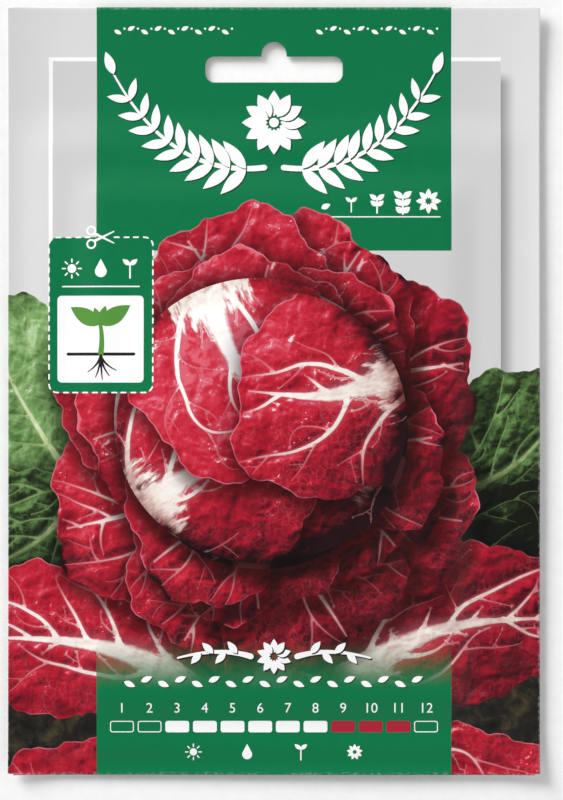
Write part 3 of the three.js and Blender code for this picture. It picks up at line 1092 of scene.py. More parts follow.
def blankOutline():
    tabEdge = leftFold - (-halfWidth + packet["sideTab"] - leftAxis)
    backEdge = rightFold + rightAxis + halfWidth - packet["backInset"]
    wide = halfWidth - packet["flapInset"]
    narrow = wide - packet["flapTaper"]
    low = -endFold - endAxis + halfHeight - packet["bottomFlap"]
    high = endFold + endAxis - halfHeight + packet["topFlap"]
    s, tabEnd = sleeveEnd, sleeveEnd - packet["tabTaper"]
    r, x = packet["flapCorner"], narrow - packet["flapCornerIn"]
    points = [(tabEdge, -tabEnd), (leftFold, -s), (-wide, -s), (-wide, -endFold)]
    points += arc(-x, low + r, r, 195, 270, 5) + arc(x, low + r, r, 270, 345, 5)
    points += [(wide, -endFold), (wide, -s), (backEdge, -s), (backEdge, s), (wide, s), (wide, endFold)]
    points += arc(x, high - r, r, 15, 90, 5) + arc(-x, high - r, r, 90, 165, 5)
    points += [(-wide, endFold), (-wide, s), (leftFold, s), (tabEdge, tabEnd)]
    return loopOf(points)


def slotHoles():
    one = slotLoop()
    onBack = np.stack([rightFold + rightAxis - one[:, 0], one[:, 1]], 1)
    onFlap = np.stack([one[:, 0], endFold + endAxis - one[:, 1]], 1)
    return [one, onBack, onFlap]


def foldPlaces(shares):
    # each side fold's (0, u) and each end fold's (1, v), at these shares of the way round it
    sides = (leftAxis, leftFold), (rightAxis, rightFold)
    places = [(0, axis + (fold - axis) * share) for axis, fold in sides for share in shares]
    ends = [endAxis + (endFold - endAxis) * share for share in shares]
    return places + [(1, side * v) for side in (-1, 1) for v in ends]


def foldShares():
    return np.linspace(0, 1, packet["foldSteps"] + 1)


def foldLines():
    high, wide = sleeveEnd - foldMesh["short"], halfWidth - packet["flapInset"] - foldMesh["short"]
    lines = []
    for way, place in foldPlaces((-foldMesh["before"], *foldShares(), 1 + foldMesh["before"])):
        if way == 0:
            lines.append([(place, v) for v in np.linspace(-high, high, foldMesh["sideSteps"])])
        else:
            lines.append([(u, place) for u in np.linspace(-wide, wide, foldMesh["endSteps"])])
    return lines


def gridPoints(x0, y0, x1, y1, pitch):
    rows = np.arange(y0, y1, pitch * 0.87)
    points = [(x, y) for i, y in enumerate(rows) for x in np.arange(x0 + pitch * 0.5 * (i % 2), x1, pitch)]
    return np.array(points)


def treeOf(points):
    tree = kdtree.KDTree(len(points))
    for i, p in enumerate(points):
        tree.insert((p[0], p[1], 0), i)
    tree.balance()
    return tree


def triangulate(loops, lines, grids, outline, holes):
    # grids are points with their pitch, and one is left out where it would crowd what is there already
    points, edges = [], []
    for loop in loops:
        first = len(points)
        points += [tuple(p) for p in loop]
        edges += [(first + i, first + (i + 1) % len(loop)) for i in range(len(loop))]
    for line in lines:
        first = len(points)
        points += [tuple(p) for p in line]
        edges += [(first + i, first + i + 1) for i in range(len(line) - 1)]
    for grid, pitch in grids:
        tree = treeOf(points)
        grid = grid[inside(grid, outline)]
        points += [tuple(p) for p in grid if tree.find((p[0], p[1], 0))[2] > pitch * 0.5]
    found = geometry.delaunay_2d_cdt([Vector(p) for p in points], edges, [], 0, 1e-4, False)
    flat = np.array([tuple(p) for p in found[0]])
    faces = np.array([tuple(face) for face in found[2]])
    middle = flat[faces].mean(1)
    keep = inside(middle, outline)
    for hole in holes:
        keep &= ~inside(middle, hole)
    faces = faces[keep]
    corners = flat[faces]
    area = np.cross(corners[:, 1] - corners[:, 0], corners[:, 2] - corners[:, 0])
    faces[area < 0] = faces[area < 0][:, ::-1]
    used, faces = np.unique(faces, return_inverse=True)
    return flat[used], faces.reshape(-1, 3)


def rimEdges(faces):
    # edges with one face, in the direction that their face runs
    edges = np.vstack([faces[:, [0, 1]], faces[:, [1, 2]], faces[:, [2, 0]]])
    order = np.sort(edges, 1)
    _, index, counts = np.unique(order, axis=0, return_index=True, return_counts=True)
    return edges[index[counts == 1]]


def rimLoops(edges):
    follow = dict(map(tuple, edges))
    loops = []
    while follow:
        start, after = next(iter(follow.items()))
        loop = [start]
        del follow[start]
        while after != start:
            loop.append(after)
            after = follow.pop(after)
        loops.append(loop)
    return loops


# Materials
def node(tree, kind, inputs=(), **settings):
    made = tree.nodes.new(kind)
    for key, value in settings.items():
        setattr(made, key, value)
    for key, value in dict(inputs).items():
        if isinstance(value, bpy.types.NodeSocket):
            tree.links.new(value, made.inputs[key])
        else:
            made.inputs[key].default_value = value
    return made


def calc(tree, operation, a, b=0.0, c=0.0):
    return node(tree, "ShaderNodeMath", {0: a, 1: b, 2: c}, operation=operation).outputs[0]


def product(tree, first, *others):
    for other in others:
        first = calc(tree, "MULTIPLY", first, other)
    return first


def added(tree, base, *terms):
    # each term is a value and its weight
    for value, weight in terms:
        base = calc(tree, "MULTIPLY_ADD", value, weight, base)
    return base


def blendColour(tree, share, a, b, mode="MIX"):
    made = node(tree, "ShaderNodeMix", {0: share, 6: a, 7: b}, data_type="RGBA", blend_type=mode)
    return made.outputs[2]


def ease(tree, value, low, high, top=1.0, bottom=0.0):
    made = node(tree, "ShaderNodeMapRange", {0: value, 1: low, 2: high, 3: bottom, 4: top},
                interpolation_type="SMOOTHSTEP")
    return made.outputs[0]


def noise(tree, place, size, detail=3.0, rough=0.5, warp=0.0):
    # size is the pattern's scale in millimetres
    made = node(tree, "ShaderNodeTexNoise", {"Vector": place, "Scale": 1 / (size * mm), "Detail": detail,
                                             "Roughness": rough, "Distortion": warp})
    return made.outputs[0]


def centred(tree, *pattern):
    # noise around 0
    return calc(tree, "SUBTRACT", noise(tree, *pattern), 0.5)


def ramp(tree, value, stops):
    made = node(tree, "ShaderNodeValToRGB", {0: value})
    line = made.color_ramp
    while len(line.elements) < len(stops):
        line.elements.new(0.5)
    for element, (place, colour) in zip(line.elements, stops):
        element.position = place
        element.color = linear(colour)
    return made.outputs[0]


def attribute(tree, name):
    return node(tree, "ShaderNodeAttribute", attribute_name=name)


def parts(tree, name):
    return node(tree, "ShaderNodeSeparateXYZ", {0: attribute(tree, name).outputs["Vector"]}).outputs[:3]


def newMaterial(name):
    material = bpy.data.materials.new(name)
    material.use_nodes = True
    tree = material.node_tree
    tree.nodes.clear()
    place = node(tree, "ShaderNodeTexCoord").outputs["Object"]
    return material, tree, place


def bump(tree, height, strength, depth, under=None):
    inputs = {"Strength": strength, "Distance": depth * mm, "Height": height}
    if under is not None:
        inputs["Normal"] = under
    return node(tree, "ShaderNodeBump", inputs).outputs[0]


def surface(tree, inputs):
    shader = node(tree, "ShaderNodeBsdfPrincipled", inputs)
    node(tree, "ShaderNodeOutputMaterial", {"Surface": shader.outputs[0]})


# Depths and pattern sizes in millimetres
paperLook = {
    "gloss": 0.34,
    "glossVary": 0.1,
    "glossPatch": 2.4,
    "coat": 0.18,
    "coatRoughness": 0.22,
    "index": 1.48,
    "fibre": 0.35,
    "fibreShade": 0.07,
    "cloud": 14,
    "cloudShade": 0.03,
    "grain": 0.012,
    "waveSize": 22,
    "wave": 0.5,
    "rubbed": (238, 236, 232),
    "rubPatch": 0.9,
    "rub": 0.2,
}


def printedPaper(tree, place, colour):
    # satin coated paper: an even ink film over fine fibres, rubbed a little where the paper is folded
    look = paperLook
    fibre = noise(tree, place, look["fibre"], 5, 0.6)
    cloud = noise(tree, place, look["cloud"], 2)
    patchy = calc(tree, "MULTIPLY_ADD", fibre, look["fibreShade"], 1 - look["fibreShade"] / 2)
    patchy = calc(tree, "SUBTRACT", patchy, look["cloudShade"] / 2)
    patchy = calc(tree, "MULTIPLY_ADD", cloud, look["cloudShade"], patchy)
    grey = node(tree, "ShaderNodeCombineColor", {0: patchy, 1: patchy, 2: patchy}).outputs[0]
    colour = blendColour(tree, 1.0, colour, grey, "MULTIPLY")
    patch = ease(tree, noise(tree, place, look["rubPatch"], 4, 0.7), 0.46, 0.62)
    rub = product(tree, attribute(tree, "foldWear").outputs["Fac"], patch, look["rub"])
    colour = blendColour(tree, rub, colour, linear(look["rubbed"]))
    gloss = noise(tree, place, look["glossPatch"], 4, 0.6)
    rough = calc(tree, "MULTIPLY_ADD", gloss, look["glossVary"], look["gloss"] - look["glossVary"] / 2)
    grain = bump(tree, fibre, 0.35, look["grain"])
    wave = bump(tree, noise(tree, place, look["waveSize"], 2), 0.5, look["wave"], grain)
    surface(tree, {"Base Color": colour, "Roughness": rough, "Normal": wave, "IOR": look["index"],
                   "Coat Weight": look["coat"], "Coat Roughness": look["coatRoughness"]})


def overprinted(tree, colour):
    # the green band fades in over the picture
    band = attribute(tree, "overprint").outputs["Fac"]
    return blendColour(tree, band, colour, linear(inks["green"]))


def plainInk(name, colour):
    material, tree, place = newMaterial(name)
    printedPaper(tree, place, linear(colour))
    return material


def panelShadowInk(name, look):
    # darkest against the raised panel, and none at its top end
    material, tree, place = newMaterial(name)
    x, y = node(tree, "ShaderNodeSeparateXYZ", {0: place}).outputs[:2]
    across = calc(tree, "SUBTRACT", x, front["panelRight"] * mm)
    shade = ramp(tree, calc(tree, "DIVIDE", across, front["panelShadow"] * mm), look)
    top = (front["frameTop"] - front["shadowDrop"]) * mm
    down = ease(tree, calc(tree, "SUBTRACT", top, y), 0.0, front["shadowFade"] * mm)
    printedPaper(tree, place, blendColour(tree, down, linear(inks["field"]), shade))
    return material


def groundInk(name, look):
    material, tree, place = newMaterial(name)
    clod = noise(tree, place, 5, 6, 0.65, 0.6)
    printedPaper(tree, place, overprinted(tree, ramp(tree, clod, look)))
    return material


leafInks = {
    "crimson": {
        "blade": [(0.0, (34, 6, 13)), (0.28, (100, 11, 27)), (0.5, (160, 17, 40)), (0.7, (194, 26, 50)),
                  (0.88, (212, 50, 74)), (1.0, (226, 98, 116))],
        "rib": [(0.0, (122, 62, 64)), (0.33, (206, 172, 164)), (0.6, (240, 228, 220)),
                (0.85, (252, 248, 243)), (1.0, (255, 254, 252))],
        "halo": (206, 96, 112),
        "fine": (222, 138, 146),
        "sheen": (214, 118, 140),
        "shine": (255, 226, 230),
        "blister": 1.25,
        "crinkle": 0.5,
        "rim": (214, 132, 148),
        "dark": (0.10, 0.035, 0.045, 1.0),
    },
    "foliage": {
        "blade": [(0.0, (14, 18, 10)), (0.3, (40, 56, 28)), (0.52, (84, 118, 62)), (0.72, (116, 158, 92)),
                  (0.9, (150, 188, 122)), (1.0, (186, 212, 160))],
        "rib": [(0.0, (60, 70, 40)), (0.35, (130, 150, 96)), (0.62, (190, 206, 150)), (1.0, (226, 234, 200))],
        "halo": (140, 176, 108),
        "fine": (150, 180, 116),
        "sheen": (170, 196, 146),
        "shine": (214, 230, 200),
        "blister": 1.3,
        "crinkle": 0.7,
        "rim": (150, 176, 116),
        "dark": (0.06, 0.07, 0.04, 1.0),
    },
}


def relief(tree, place, size, detail, rough, warp, reach):
    # how far a fractal surface leans towards the light in the picture
    ahead = [share * reach * mm for share in head["light"]] + [0]
    towards = node(tree, "ShaderNodeVectorMath", {0: place, 1: ahead}, operation="ADD").outputs[0]
    return calc(tree, "SUBTRACT", noise(tree, place, size, detail, rough, warp),
                noise(tree, towards, size, detail, rough, warp))


leafForm = {
    "stretch": 0.3,  # of the patterns that run along the leaf
    "pucker": 0.22,
    "broad": 0.34,
    "fold": 0.4,
    "small": 0.08,
    "netCell": 1.9,
    "netBend": 3,
    "net": 0.26,
    "sheen": 0.75,
    "glint": 0.95,
    "halo": 0.4,
    "ribStreak": 0.5,
    "ribRelief": 0.9,
    "rim": 0.7,
}


def leafInk(name, look):
    form = leafForm
    material, tree, place = newMaterial(name)
    u, v, blanch = parts(tree, "leafPlace")
    ratio, pucker, edge = parts(tree, "leafVein")
    bright, shadow, bold = parts(tree, "leafLight")
    along, across = calc(tree, "MULTIPLY", u, form["stretch"] * mm), calc(tree, "MULTIPLY", v, mm)
    onLeaf = node(tree, "ShaderNodeCombineXYZ", {0: along, 1: across, 2: 0.0}).outputs[0]
    broad = centred(tree, place, 9, 3, 0.55, 0.4)
    small = centred(tree, place, 2.6, 5, 0.62, 0.5)
    tiny = centred(tree, place, 0.8, 4, 0.65)
    fold = centred(tree, onLeaf, 3.4, 3, 0.55, 0.3)
    comb = centred(tree, onLeaf, 1.5, 3, 0.6, 0.2)
    streak = centred(tree, onLeaf, 0.9, 4, 0.6)
    blister = relief(tree, place, 6.5, 3, 0.5, 0.6, 1.1)
    crinkle = relief(tree, place, 2.6, 2, 0.45, 0.4, 0.5)
    # blade: form, folds, puckers between the veins, crinkles that lean to the light
    level = added(tree, bright, (pucker, form["pucker"]), (broad, form["broad"]), (fold, form["fold"]),
                  (small, form["small"]), (blister, look["blister"]), (crinkle, look["crinkle"]))
    blade = ramp(tree, level, look["blade"])
    # the finest veins, a net that fades where the leaf turns from the light
    bend = form["netBend"] * mm
    grain = {"Vector": place, "Scale": 1 / bend, "Detail": 2.0}
    wander = node(tree, "ShaderNodeTexNoise", grain).outputs["Color"]
    shift = {0: wander, 1: (bend, bend, 0), 2: place}
    bent = node(tree, "ShaderNodeVectorMath", shift, operation="MULTIPLY_ADD").outputs[0]
    cells = {"Vector": bent, "Scale": 1 / (form["netCell"] * mm)}
    net = node(tree, "ShaderNodeTexVoronoi", cells, feature="DISTANCE_TO_EDGE").outputs["Distance"]
    net = ease(tree, added(tree, net, (tiny, 0.2)), 0.09, 0.0, form["net"])
    awake = ease(tree, bright, 0.0, 0.48)
    net = product(tree, net, awake, ease(tree, broad, -0.1, 0.12))
    blade = blendColour(tree, net, blade, linear(look["halo"]))
    # wet sheen on what leans to the light, broad first and then sparkling
    lean = added(tree, calc(tree, "MULTIPLY", pucker, 0.3), (crinkle, 1.6), (blister, 3.0))
    lit = ease(tree, added(tree, bright, (fold, 0.6)), 0.5, 0.84)
    sheen = product(tree, ease(tree, lean, 0.1, 0.7, form["sheen"]), lit)
    blade = blendColour(tree, sheen, blade, linear(look["sheen"]))
    glint = ease(tree, added(tree, lean, (tiny, 0.7)), 0.5, 0.7, form["glint"])
    glint = product(tree, glint, ease(tree, bright, 0.48, 0.7))
    drops = added(tree, relief(tree, place, 0.95, 2, 0.5, 0.4, 0.22), (blister, 1.2))
    drops = product(tree, ease(tree, drops, 0.2, 0.26), ease(tree, broad, 0.0, 0.1),
                    ease(tree, bright, 0.4, 0.62))
    blade = blendColour(tree, calc(tree, "MAXIMUM", glint, drops), blade, linear(look["shine"]))
    # veins, pinker where they are fine, and the blanched foot
    soft = added(tree, ratio, (small, 0.8))
    halo = product(tree, ease(tree, soft, 3.2, 0.9, form["halo"]), awake)
    blade = blendColour(tree, halo, blade, linear(look["halo"]))
    ribLevel = calc(tree, "ADD", bright, 0.1)
    ribLevel = added(tree, ribLevel, (streak, form["ribStreak"]), (blister, form["ribRelief"]))
    rib = ramp(tree, ribLevel, look["rib"])
    foot = ease(tree, added(tree, blanch, (broad, 0.5), (comb, 1.5), (fold, 0.8)), 0.37, 0.68)
    foot = product(tree, foot, ease(tree, added(tree, bright, (comb, 0.4)), 0.04, 0.3))
    fine = blendColour(tree, ease(tree, bright, 0.48, 0.0, 0.5), linear(look["fine"]), look["dark"])
    veinTone = blendColour(tree, calc(tree, "MAXIMUM", foot, bold), fine, rib)
    veinMask = product(tree, ease(tree, soft, 1.35, 0.7), ease(tree, bold, -0.25, 0.5))
    colour = blendColour(tree, calc(tree, "MAXIMUM", veinMask, foot), blade, veinTone)
    # a thin pale margin that comes and goes, then the shade of the leaves above
    rim = ease(tree, added(tree, edge, (tiny, 0.5)), 0.42, 0.1, form["rim"])
    rim = product(tree, rim, ease(tree, calc(tree, "ADD", bright, broad), 0.3, 0.75))
    colour = blendColour(tree, rim, colour, linear(look["rim"]))
    dim = blendColour(tree, shadow, (1, 1, 1, 1), look["dark"])
    colour = blendColour(tree, 1.0, colour, dim, "MULTIPLY")
    printedPaper(tree, place, overprinted(tree, colour))
    return material


def rawPaper(name):
    material, tree, place = newMaterial(name)
    fibre = noise(tree, place, 0.5, 6, 0.7, 0.8)
    colour = ramp(tree, fibre, [(0.3, (222, 219, 211)), (0.7, (247, 245, 240))])
    fuzz = bump(tree, fibre, 0.5, 0.02)
    surface(tree, {"Base Color": colour, "Roughness": 0.85, "Normal": fuzz, "IOR": 1.45})
    return material


# Other inks with a shader of their own, and their colours
special = {
    "panelShadow": (panelShadowInk, [(0.0, (150, 150, 150)), (0.4, (184, 184, 184)), (0.75, (214, 214, 214)),
                                     (1.0, inks["field"])]),
    "ground": (groundInk, [(0.3, (12, 11, 11)), (0.5, (34, 31, 27)), (0.62, (58, 52, 36)),
                           (0.8, (92, 88, 52))]),
}
materials = {"raw": rawPaper("uncoated paper")}
for inkName, colour in inks.items():
    if inkName in leafInks:
        materials[inkName] = leafInk(inkName + " leaf print", leafInks[inkName])
    else:
        makeInk, look = special.get(inkName, (plainInk, colour))
        materials[inkName] = makeInk(inkName + " print", look)


def makeMesh(name, points, faces, slots, faceSlot, smoothAngle=40):
    mesh = bpy.data.meshes.new(name)
    mesh.from_pydata((points * mm).tolist(), [], faces.tolist())
    for material in slots:
        mesh.materials.append(material)
    mesh.polygons.foreach_set("material_index", np.asarray(faceSlot, np.int32))
    mesh.polygons.foreach_set("use_smooth", np.ones(len(faces), bool))
    mesh.update()
    mesh.set_sharp_from_angle(angle=math.radians(smoothAngle))
    piece = bpy.data.objects.new(name, mesh)
    bpy.context.scene.collection.objects.link(piece)
    return piece


def addCornerValues(mesh, name, values):
    kind = "FLOAT_VECTOR" if values.ndim == 2 else "FLOAT"
    layer = mesh.attributes.new(name, kind, "CORNER")
    layer.data.foreach_set("vector" if values.ndim == 2 else "value", values.astype(np.float32).ravel())


# How far the meshing grids reach, and the room beside a vein
gridReach = {
    "pictureTop": 48,
    "tab": 14,
    "flap": 40,
}
veinRoom = {
    "share": 1.45,  # of the vein's half width
    "more": 0.34,
}


def shownVeins():
    # veins only where their leaf shows, with a point at each side that keeps them slim
    lines, beside = [], []
    for index, (_, _, shape) in enumerate(stack):
        if shape is None:
            continue
        veins = shape["veins"]
        middles = np.vstack([(vein[:-1, :2] + vein[1:, :2]) / 2 for vein in veins])
        seen = topmost(middles, stack[index:]) == 0
        starts = np.cumsum([len(vein) - 1 for vein in veins])[:-1]
        for vein, shown in zip(veins, np.split(seen, starts)):
            line = [tuple(vein[0, :2])]
            for shows, start, end in zip(shown, vein, vein[1:]):
                if not shows:
                    lines.append(line)
                    line = [tuple(end[:2])]
                    continue
                line.append(tuple(end[:2]))
                step, middle = (end - start)[:2], (start + end)[:2] / 2
                way = step / max(np.linalg.norm(step), 1e-9)
                side = np.array([-way[1], way[0]]) * (veinRoom["share"] * end[2] + veinRoom["more"])
                beside += [middle + side, middle - side]
            lines.append(line)
    return [line for line in lines if len(line) > 1], np.array(beside)


def fadeEdges():
    half, fade, solid = front["blockHalf"], front["fadeTop"], front["solidTop"]
    lines = [[(-half, fade), (-half, solid)], [(half, fade), (half, solid)], [(-half, fade), (half, fade)]]
    return [subdivide(loopOf(line), meshPitch["print"], False) for line in lines]


def printedGrids(beside):
    # the front, the back panel, the side tab, the header flap and the bottom flap
    top, tab, flap = gridReach["pictureTop"], gridReach["tab"], gridReach["flap"]
    areas = [
        ("picture", -halfWidth, -halfHeight, halfWidth, top),
        ("header", -halfWidth, top, halfWidth, halfHeight),
        ("back", halfWidth, -halfHeight, 3 * halfWidth, halfHeight),
        ("back", -halfWidth - tab, -halfHeight, -halfWidth, halfHeight),
        ("back", -halfWidth, halfHeight, halfWidth, halfHeight + flap),
        ("back", -halfWidth, -halfHeight - flap, halfWidth, -halfHeight),
    ]
    grids = [(gridPoints(*area, meshPitch[name]), meshPitch[name]) for name, *area in areas]
    return [(beside, meshPitch["besideVein"]), *grids]


def leafCorners(flat, faces, faceShape):
    # what the leaf shaders read, a value for each corner of each face
    cornerPoint = faces.ravel()
    place, vein, lights = (np.zeros((len(cornerPoint), 3)) for _ in range(3))
    order = [i for i, item in enumerate(stack) if item[2] is not None]
    for index in order:
        corners = np.flatnonzero(np.repeat(faceShape == index, 3))
        if len(corners):
            points, which = np.unique(cornerPoint[corners], return_inverse=True)
            above = [stack[i][2] for i in order if i > index]
            painted = paintLeaf(stack[index][2], flat[points], above)
            place[corners], vein[corners], lights[corners] = (value[which] for value in painted)
    print("leaves painted")
    return {"leafPlace": place, "leafVein": vein, "leafLight": lights}


def bandCorners(flat, faces):
    # how much of the green band's ink lies over the picture
    middle = flat[faces].mean(1)
    inBand = (np.abs(middle[:, 0]) < front["blockHalf"]) & (np.abs(middle[:, 1]) < endAxis)
    inBand &= middle[:, 1] < front["fadeTop"]
    down = -flat[faces.ravel(), 1]
    return np.repeat(inBand, 3) * smooth(down, -front["fadeTop"], -front["solidTop"])


def foldCorners(flat, faces):
    # 1 on the folds, where the ink is rubbed, and 0 elsewhere
    u, v = flat[faces.ravel()].T
    wear = ((u > rightAxis - 1e-3) & (u < rightFold)) | ((u < leftAxis + 1e-3) & (u > leftFold))
    wear |= (np.abs(u) < halfWidth) & (np.abs(v) > endAxis - 1e-3) & (np.abs(v) < endFold)
    return wear.astype(float)


def innerSide(flat, faces, outline, holes):
    # the inner side is coarser, and walls join its rim to the printed side's
    loops = [np.array(loop) for loop in rimLoops(rimEdges(faces))]
    left, low = -halfWidth - gridReach["tab"], -halfHeight - gridReach["flap"]
    grid = gridPoints(left, low, 3 * halfWidth, -low, meshPitch["inner"])
    grids = [(grid, meshPitch["inner"])]
    innerFlat, innerFaces = triangulate([flat[loop] for loop in loops], foldLines(), grids, outline, holes)
    tree = treeOf(innerFlat)
    walls = []
    for loop in loops:
        twin = [tree.find((*flat[i], 0))[1] + len(flat) for i in loop]
        for i in range(len(loop)):
            j = (i + 1) % len(loop)
            walls += [(loop[j], loop[i], twin[i]), (loop[j], twin[i], twin[j])]
    return innerFlat, innerFaces, np.array(walls)


def makeEnvelope():
    outline = subdivide(blankOutline(), meshPitch["outline"], True, foldPlaces(foldShares()))
    holes = [subdivide(loop, meshPitch["outline"]) for loop in slotHoles()]
    printFrontField()
    printHeader()
    leaves = printPicture()
    printTag()
    printBand()
    printBack()
    print("print drawn:", len(stack), "shapes,", len(leaves), "leaves")
    veinLines, besideVeins = shownVeins()
    loops = [outline, *holes, *(loop for loop, _, _ in stack)]
    lines = foldLines() + veinLines + fadeEdges()
    flat, faces = triangulate(loops, lines, printedGrids(besideVeins), outline, holes)
    print("printed side:", len(flat), "points,", len(faces), "faces")
    faceShape = topmost(flat[faces].mean(1), stack)
    faceInk = [inkNames.index(stack[i][1]) if i >= 0 else 0 for i in faceShape]
    values = leafCorners(flat, faces, faceShape)
    values["overprint"] = bandCorners(flat, faces)
    values["foldWear"] = foldCorners(flat, faces)
    innerFlat, innerFaces, walls = innerSide(flat, faces, outline, holes)
    points = np.vstack([foldBlank(flat, np.full(len(flat), paper / 2)),
                        foldBlank(innerFlat, np.full(len(innerFlat), -paper / 2))])
    allFaces = np.vstack([faces, innerFaces[:, ::-1] + len(flat), walls])
    bare = len(innerFaces) + len(walls)
    faceSlot = np.concatenate([faceInk, np.full(bare, len(inkNames))])
    slots = [materials[name] for name in inkNames] + [materials["raw"]]
    piece = makeMesh("printed_envelope", points, allFaces, slots, faceSlot)
    for name, value in values.items():
        unprinted = np.zeros((3 * bare, *value.shape[1:]))
        addCornerValues(piece.data, name, np.concatenate([value, unprinted]))
    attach(piece, "root")
    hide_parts("outer_envelope")
    print("envelope folded:", len(allFaces), "faces")


# The sealed sachet: two films, crimped along its ends
film = {
    "thick": 0.1,
    "backZ": 0.9,
    "frontZ": 1.45,
    "tooth": 1.2,
    "toothPitch": 3,
    "notch": 2,
    "notchWidth": 3,
    "notchDrop": 14,
    "crimpBand": 7,
    "crimpPitch": 1.5,
    "crimp": 0.05,
    "crumple": 0.06,
    "outlinePitch": 0.5,
    "gridPitch": 2.0,
    "crimpStart": 0.8,
    "crimpRows": 5,
    "sealGap": 0.02,
    "opening": 9,  # the films part over this width inside the seals
}


def sachetOutline():
    half, low, high = sachet["width"] / 2, sachet["low"], sachet["high"]
    teeth = round(sachet["width"] / film["toothPitch"])
    xs = np.linspace(-half, half, 2 * teeth + 1)
    dips = film["tooth"] * (np.arange(2 * teeth + 1) % 2)
    notchY = high - film["notchDrop"]
    reach = film["notchWidth"] / 2
    notch = [(half, notchY - reach), (half - film["notch"], notchY), (half, notchY + reach)]
    return loopOf(list(zip(xs, low + dips)) + notch + list(zip(xs[::-1], high - dips)))


def makeFilm(name, nodeName, isFront):
    outline = resample(sachetOutline(), film["outlinePitch"])
    low, high, half = sachet["low"], sachet["high"], sachet["width"] / 2
    band = film["crimpBand"] + film["tooth"]
    quarter = film["crimpPitch"] / 4
    crimpXs = np.arange(-half + quarter, half, quarter)
    crimpYs = np.linspace(film["crimpStart"], band, film["crimpRows"])
    crimps = np.array([(x, y) for x in crimpXs for rise in crimpYs for y in (low + rise, high - rise)])
    inner = gridPoints(-half, low + band, half, high - band, film["gridPitch"])
    grids = [(crimps, film["outlinePitch"]), (inner, 0.8 * film["gridPitch"])]
    flat, faces = triangulate([outline], [], grids, outline, [])
    x, y = flat.T
    toEnd = np.minimum(y - low, high - y)
    crimp = film["crimp"] * np.sin(2 * math.pi * x / film["crimpPitch"])
    crimp *= 1 - smooth(toEnd, band - 1.5, band)
    crumple = np.sin(x / 4.1 + 2 * np.sin(y / 7.3)) + np.sin(y / 3.3 + 1.7 * np.sin(x / 5.9))
    crumple *= film["crumple"]
    parted = smooth(np.minimum(toEnd - band, half - np.abs(x) - sachet["seal"]), 0, film["opening"])
    if isFront:
        sealed = film["backZ"] + film["thick"] + film["sealGap"]
        z = sealed + (film["frontZ"] - sealed + crumple * 0.5) * parted + filledRise(x, y)
    else:
        z = film["backZ"] + 0.4 * crumple * parted
    middle = np.column_stack([x, y, z + crimp])
    rim = rimEdges(faces)
    count = len(flat)
    walls = np.vstack([np.column_stack([rim[:, 1], rim[:, 0], rim[:, 0] + count]),
                       np.column_stack([rim[:, 1], rim[:, 0] + count, rim[:, 1] + count])])
    rise = np.array([0, 0, film["thick"] / 2])
    points = np.vstack([middle + rise, middle - rise])
    allFaces = np.vstack([faces, faces[:, ::-1] + count, walls])
    piece = makeMesh(name, points, allFaces, [materials["foil"]], np.zeros(len(allFaces), int), 50)
    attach(piece, "root")
    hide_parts(nodeName)
    print(name, "made:", len(allFaces), "faces")


# The seeds: a low mound with loose seeds scattered over it by Geometry Nodes
seeds = {
    "floor": 1.35,
    "rim": 0.2,
    "cut": 0.93,
    "long": 2.6,
    "wide": 1.25,
    "spacing": 1.22,
    "density": 1.6,  # tries per square millimetre
    "seed": 11,
    "sunk": 0.12,  # the mound is this much lower than the seeds' tops
    "rings": 26,
    "spokes": 96,
    "steepest": 0.3,  # loose seeds lie where the mound's normal points up more than this
    "lean": (0.22, 0.2),
    "sizes": (0.82, 1.12),
    "ridges": 5,
    "sections": ((-0.72, 0.5), (0.1, 0.85), (0.72, 1.0)),  # shares of the half length and half width
    "depth": 0.8,
    "blunt": 0.86,
}


def moundMesh():
    rings, spokes = seeds["rings"], seeds["spokes"]
    turns = np.linspace(0, 2 * math.pi, spokes, endpoint=False)
    power = 2 / sachet["heapPower"]
    cx = np.sign(np.cos(turns)) * np.abs(np.cos(turns)) ** power
    cy = np.sign(np.sin(turns)) * np.abs(np.sin(turns)) ** power
    shares = np.linspace(0, seeds["cut"], rings + 1)[1:]
    xs = np.outer(shares, cx * sachet["heapHalfWidth"]).ravel()
    ys = np.outer(shares, cy * sachet["heapHalfHeight"]).ravel() + sachet["heapY"]
    sunk = seeds["sunk"]
    across = np.abs(xs / sachet["heapHalfWidth"]) ** sachet["heapPower"]
    along = np.abs((ys - sachet["heapY"]) / sachet["heapHalfHeight"]) ** sachet["heapPower"]
    rise = (sachet["heap"] - seeds["rim"]) * np.clip(1 - across - along, 0, 1) ** sachet["heapFall"]
    zs = seeds["floor"] + seeds["rim"] - sunk + rise
    top = [(0, sachet["heapY"], seeds["floor"] + sachet["heap"] - sunk)] + list(zip(xs, ys, zs))
    edge = list(zip(xs[-spokes:], ys[-spokes:], np.full(spokes, seeds["floor"])))
    points = np.array(top + edge + [(0, sachet["heapY"], seeds["floor"])])
    faces = [(0, 1 + i, 1 + (i + 1) % spokes) for i in range(spokes)]
    for step in range(rings):
        a = 1 + step * spokes
        for i in range(spokes):
            j = (i + 1) % spokes
            faces += [(a + i, a + spokes + i, a + spokes + j), (a + i, a + spokes + j, a + j)]
    low = 1 + rings * spokes
    faces += [(len(points) - 1, low + (i + 1) % spokes, low + i) for i in range(spokes)]
    return points, np.array(faces)


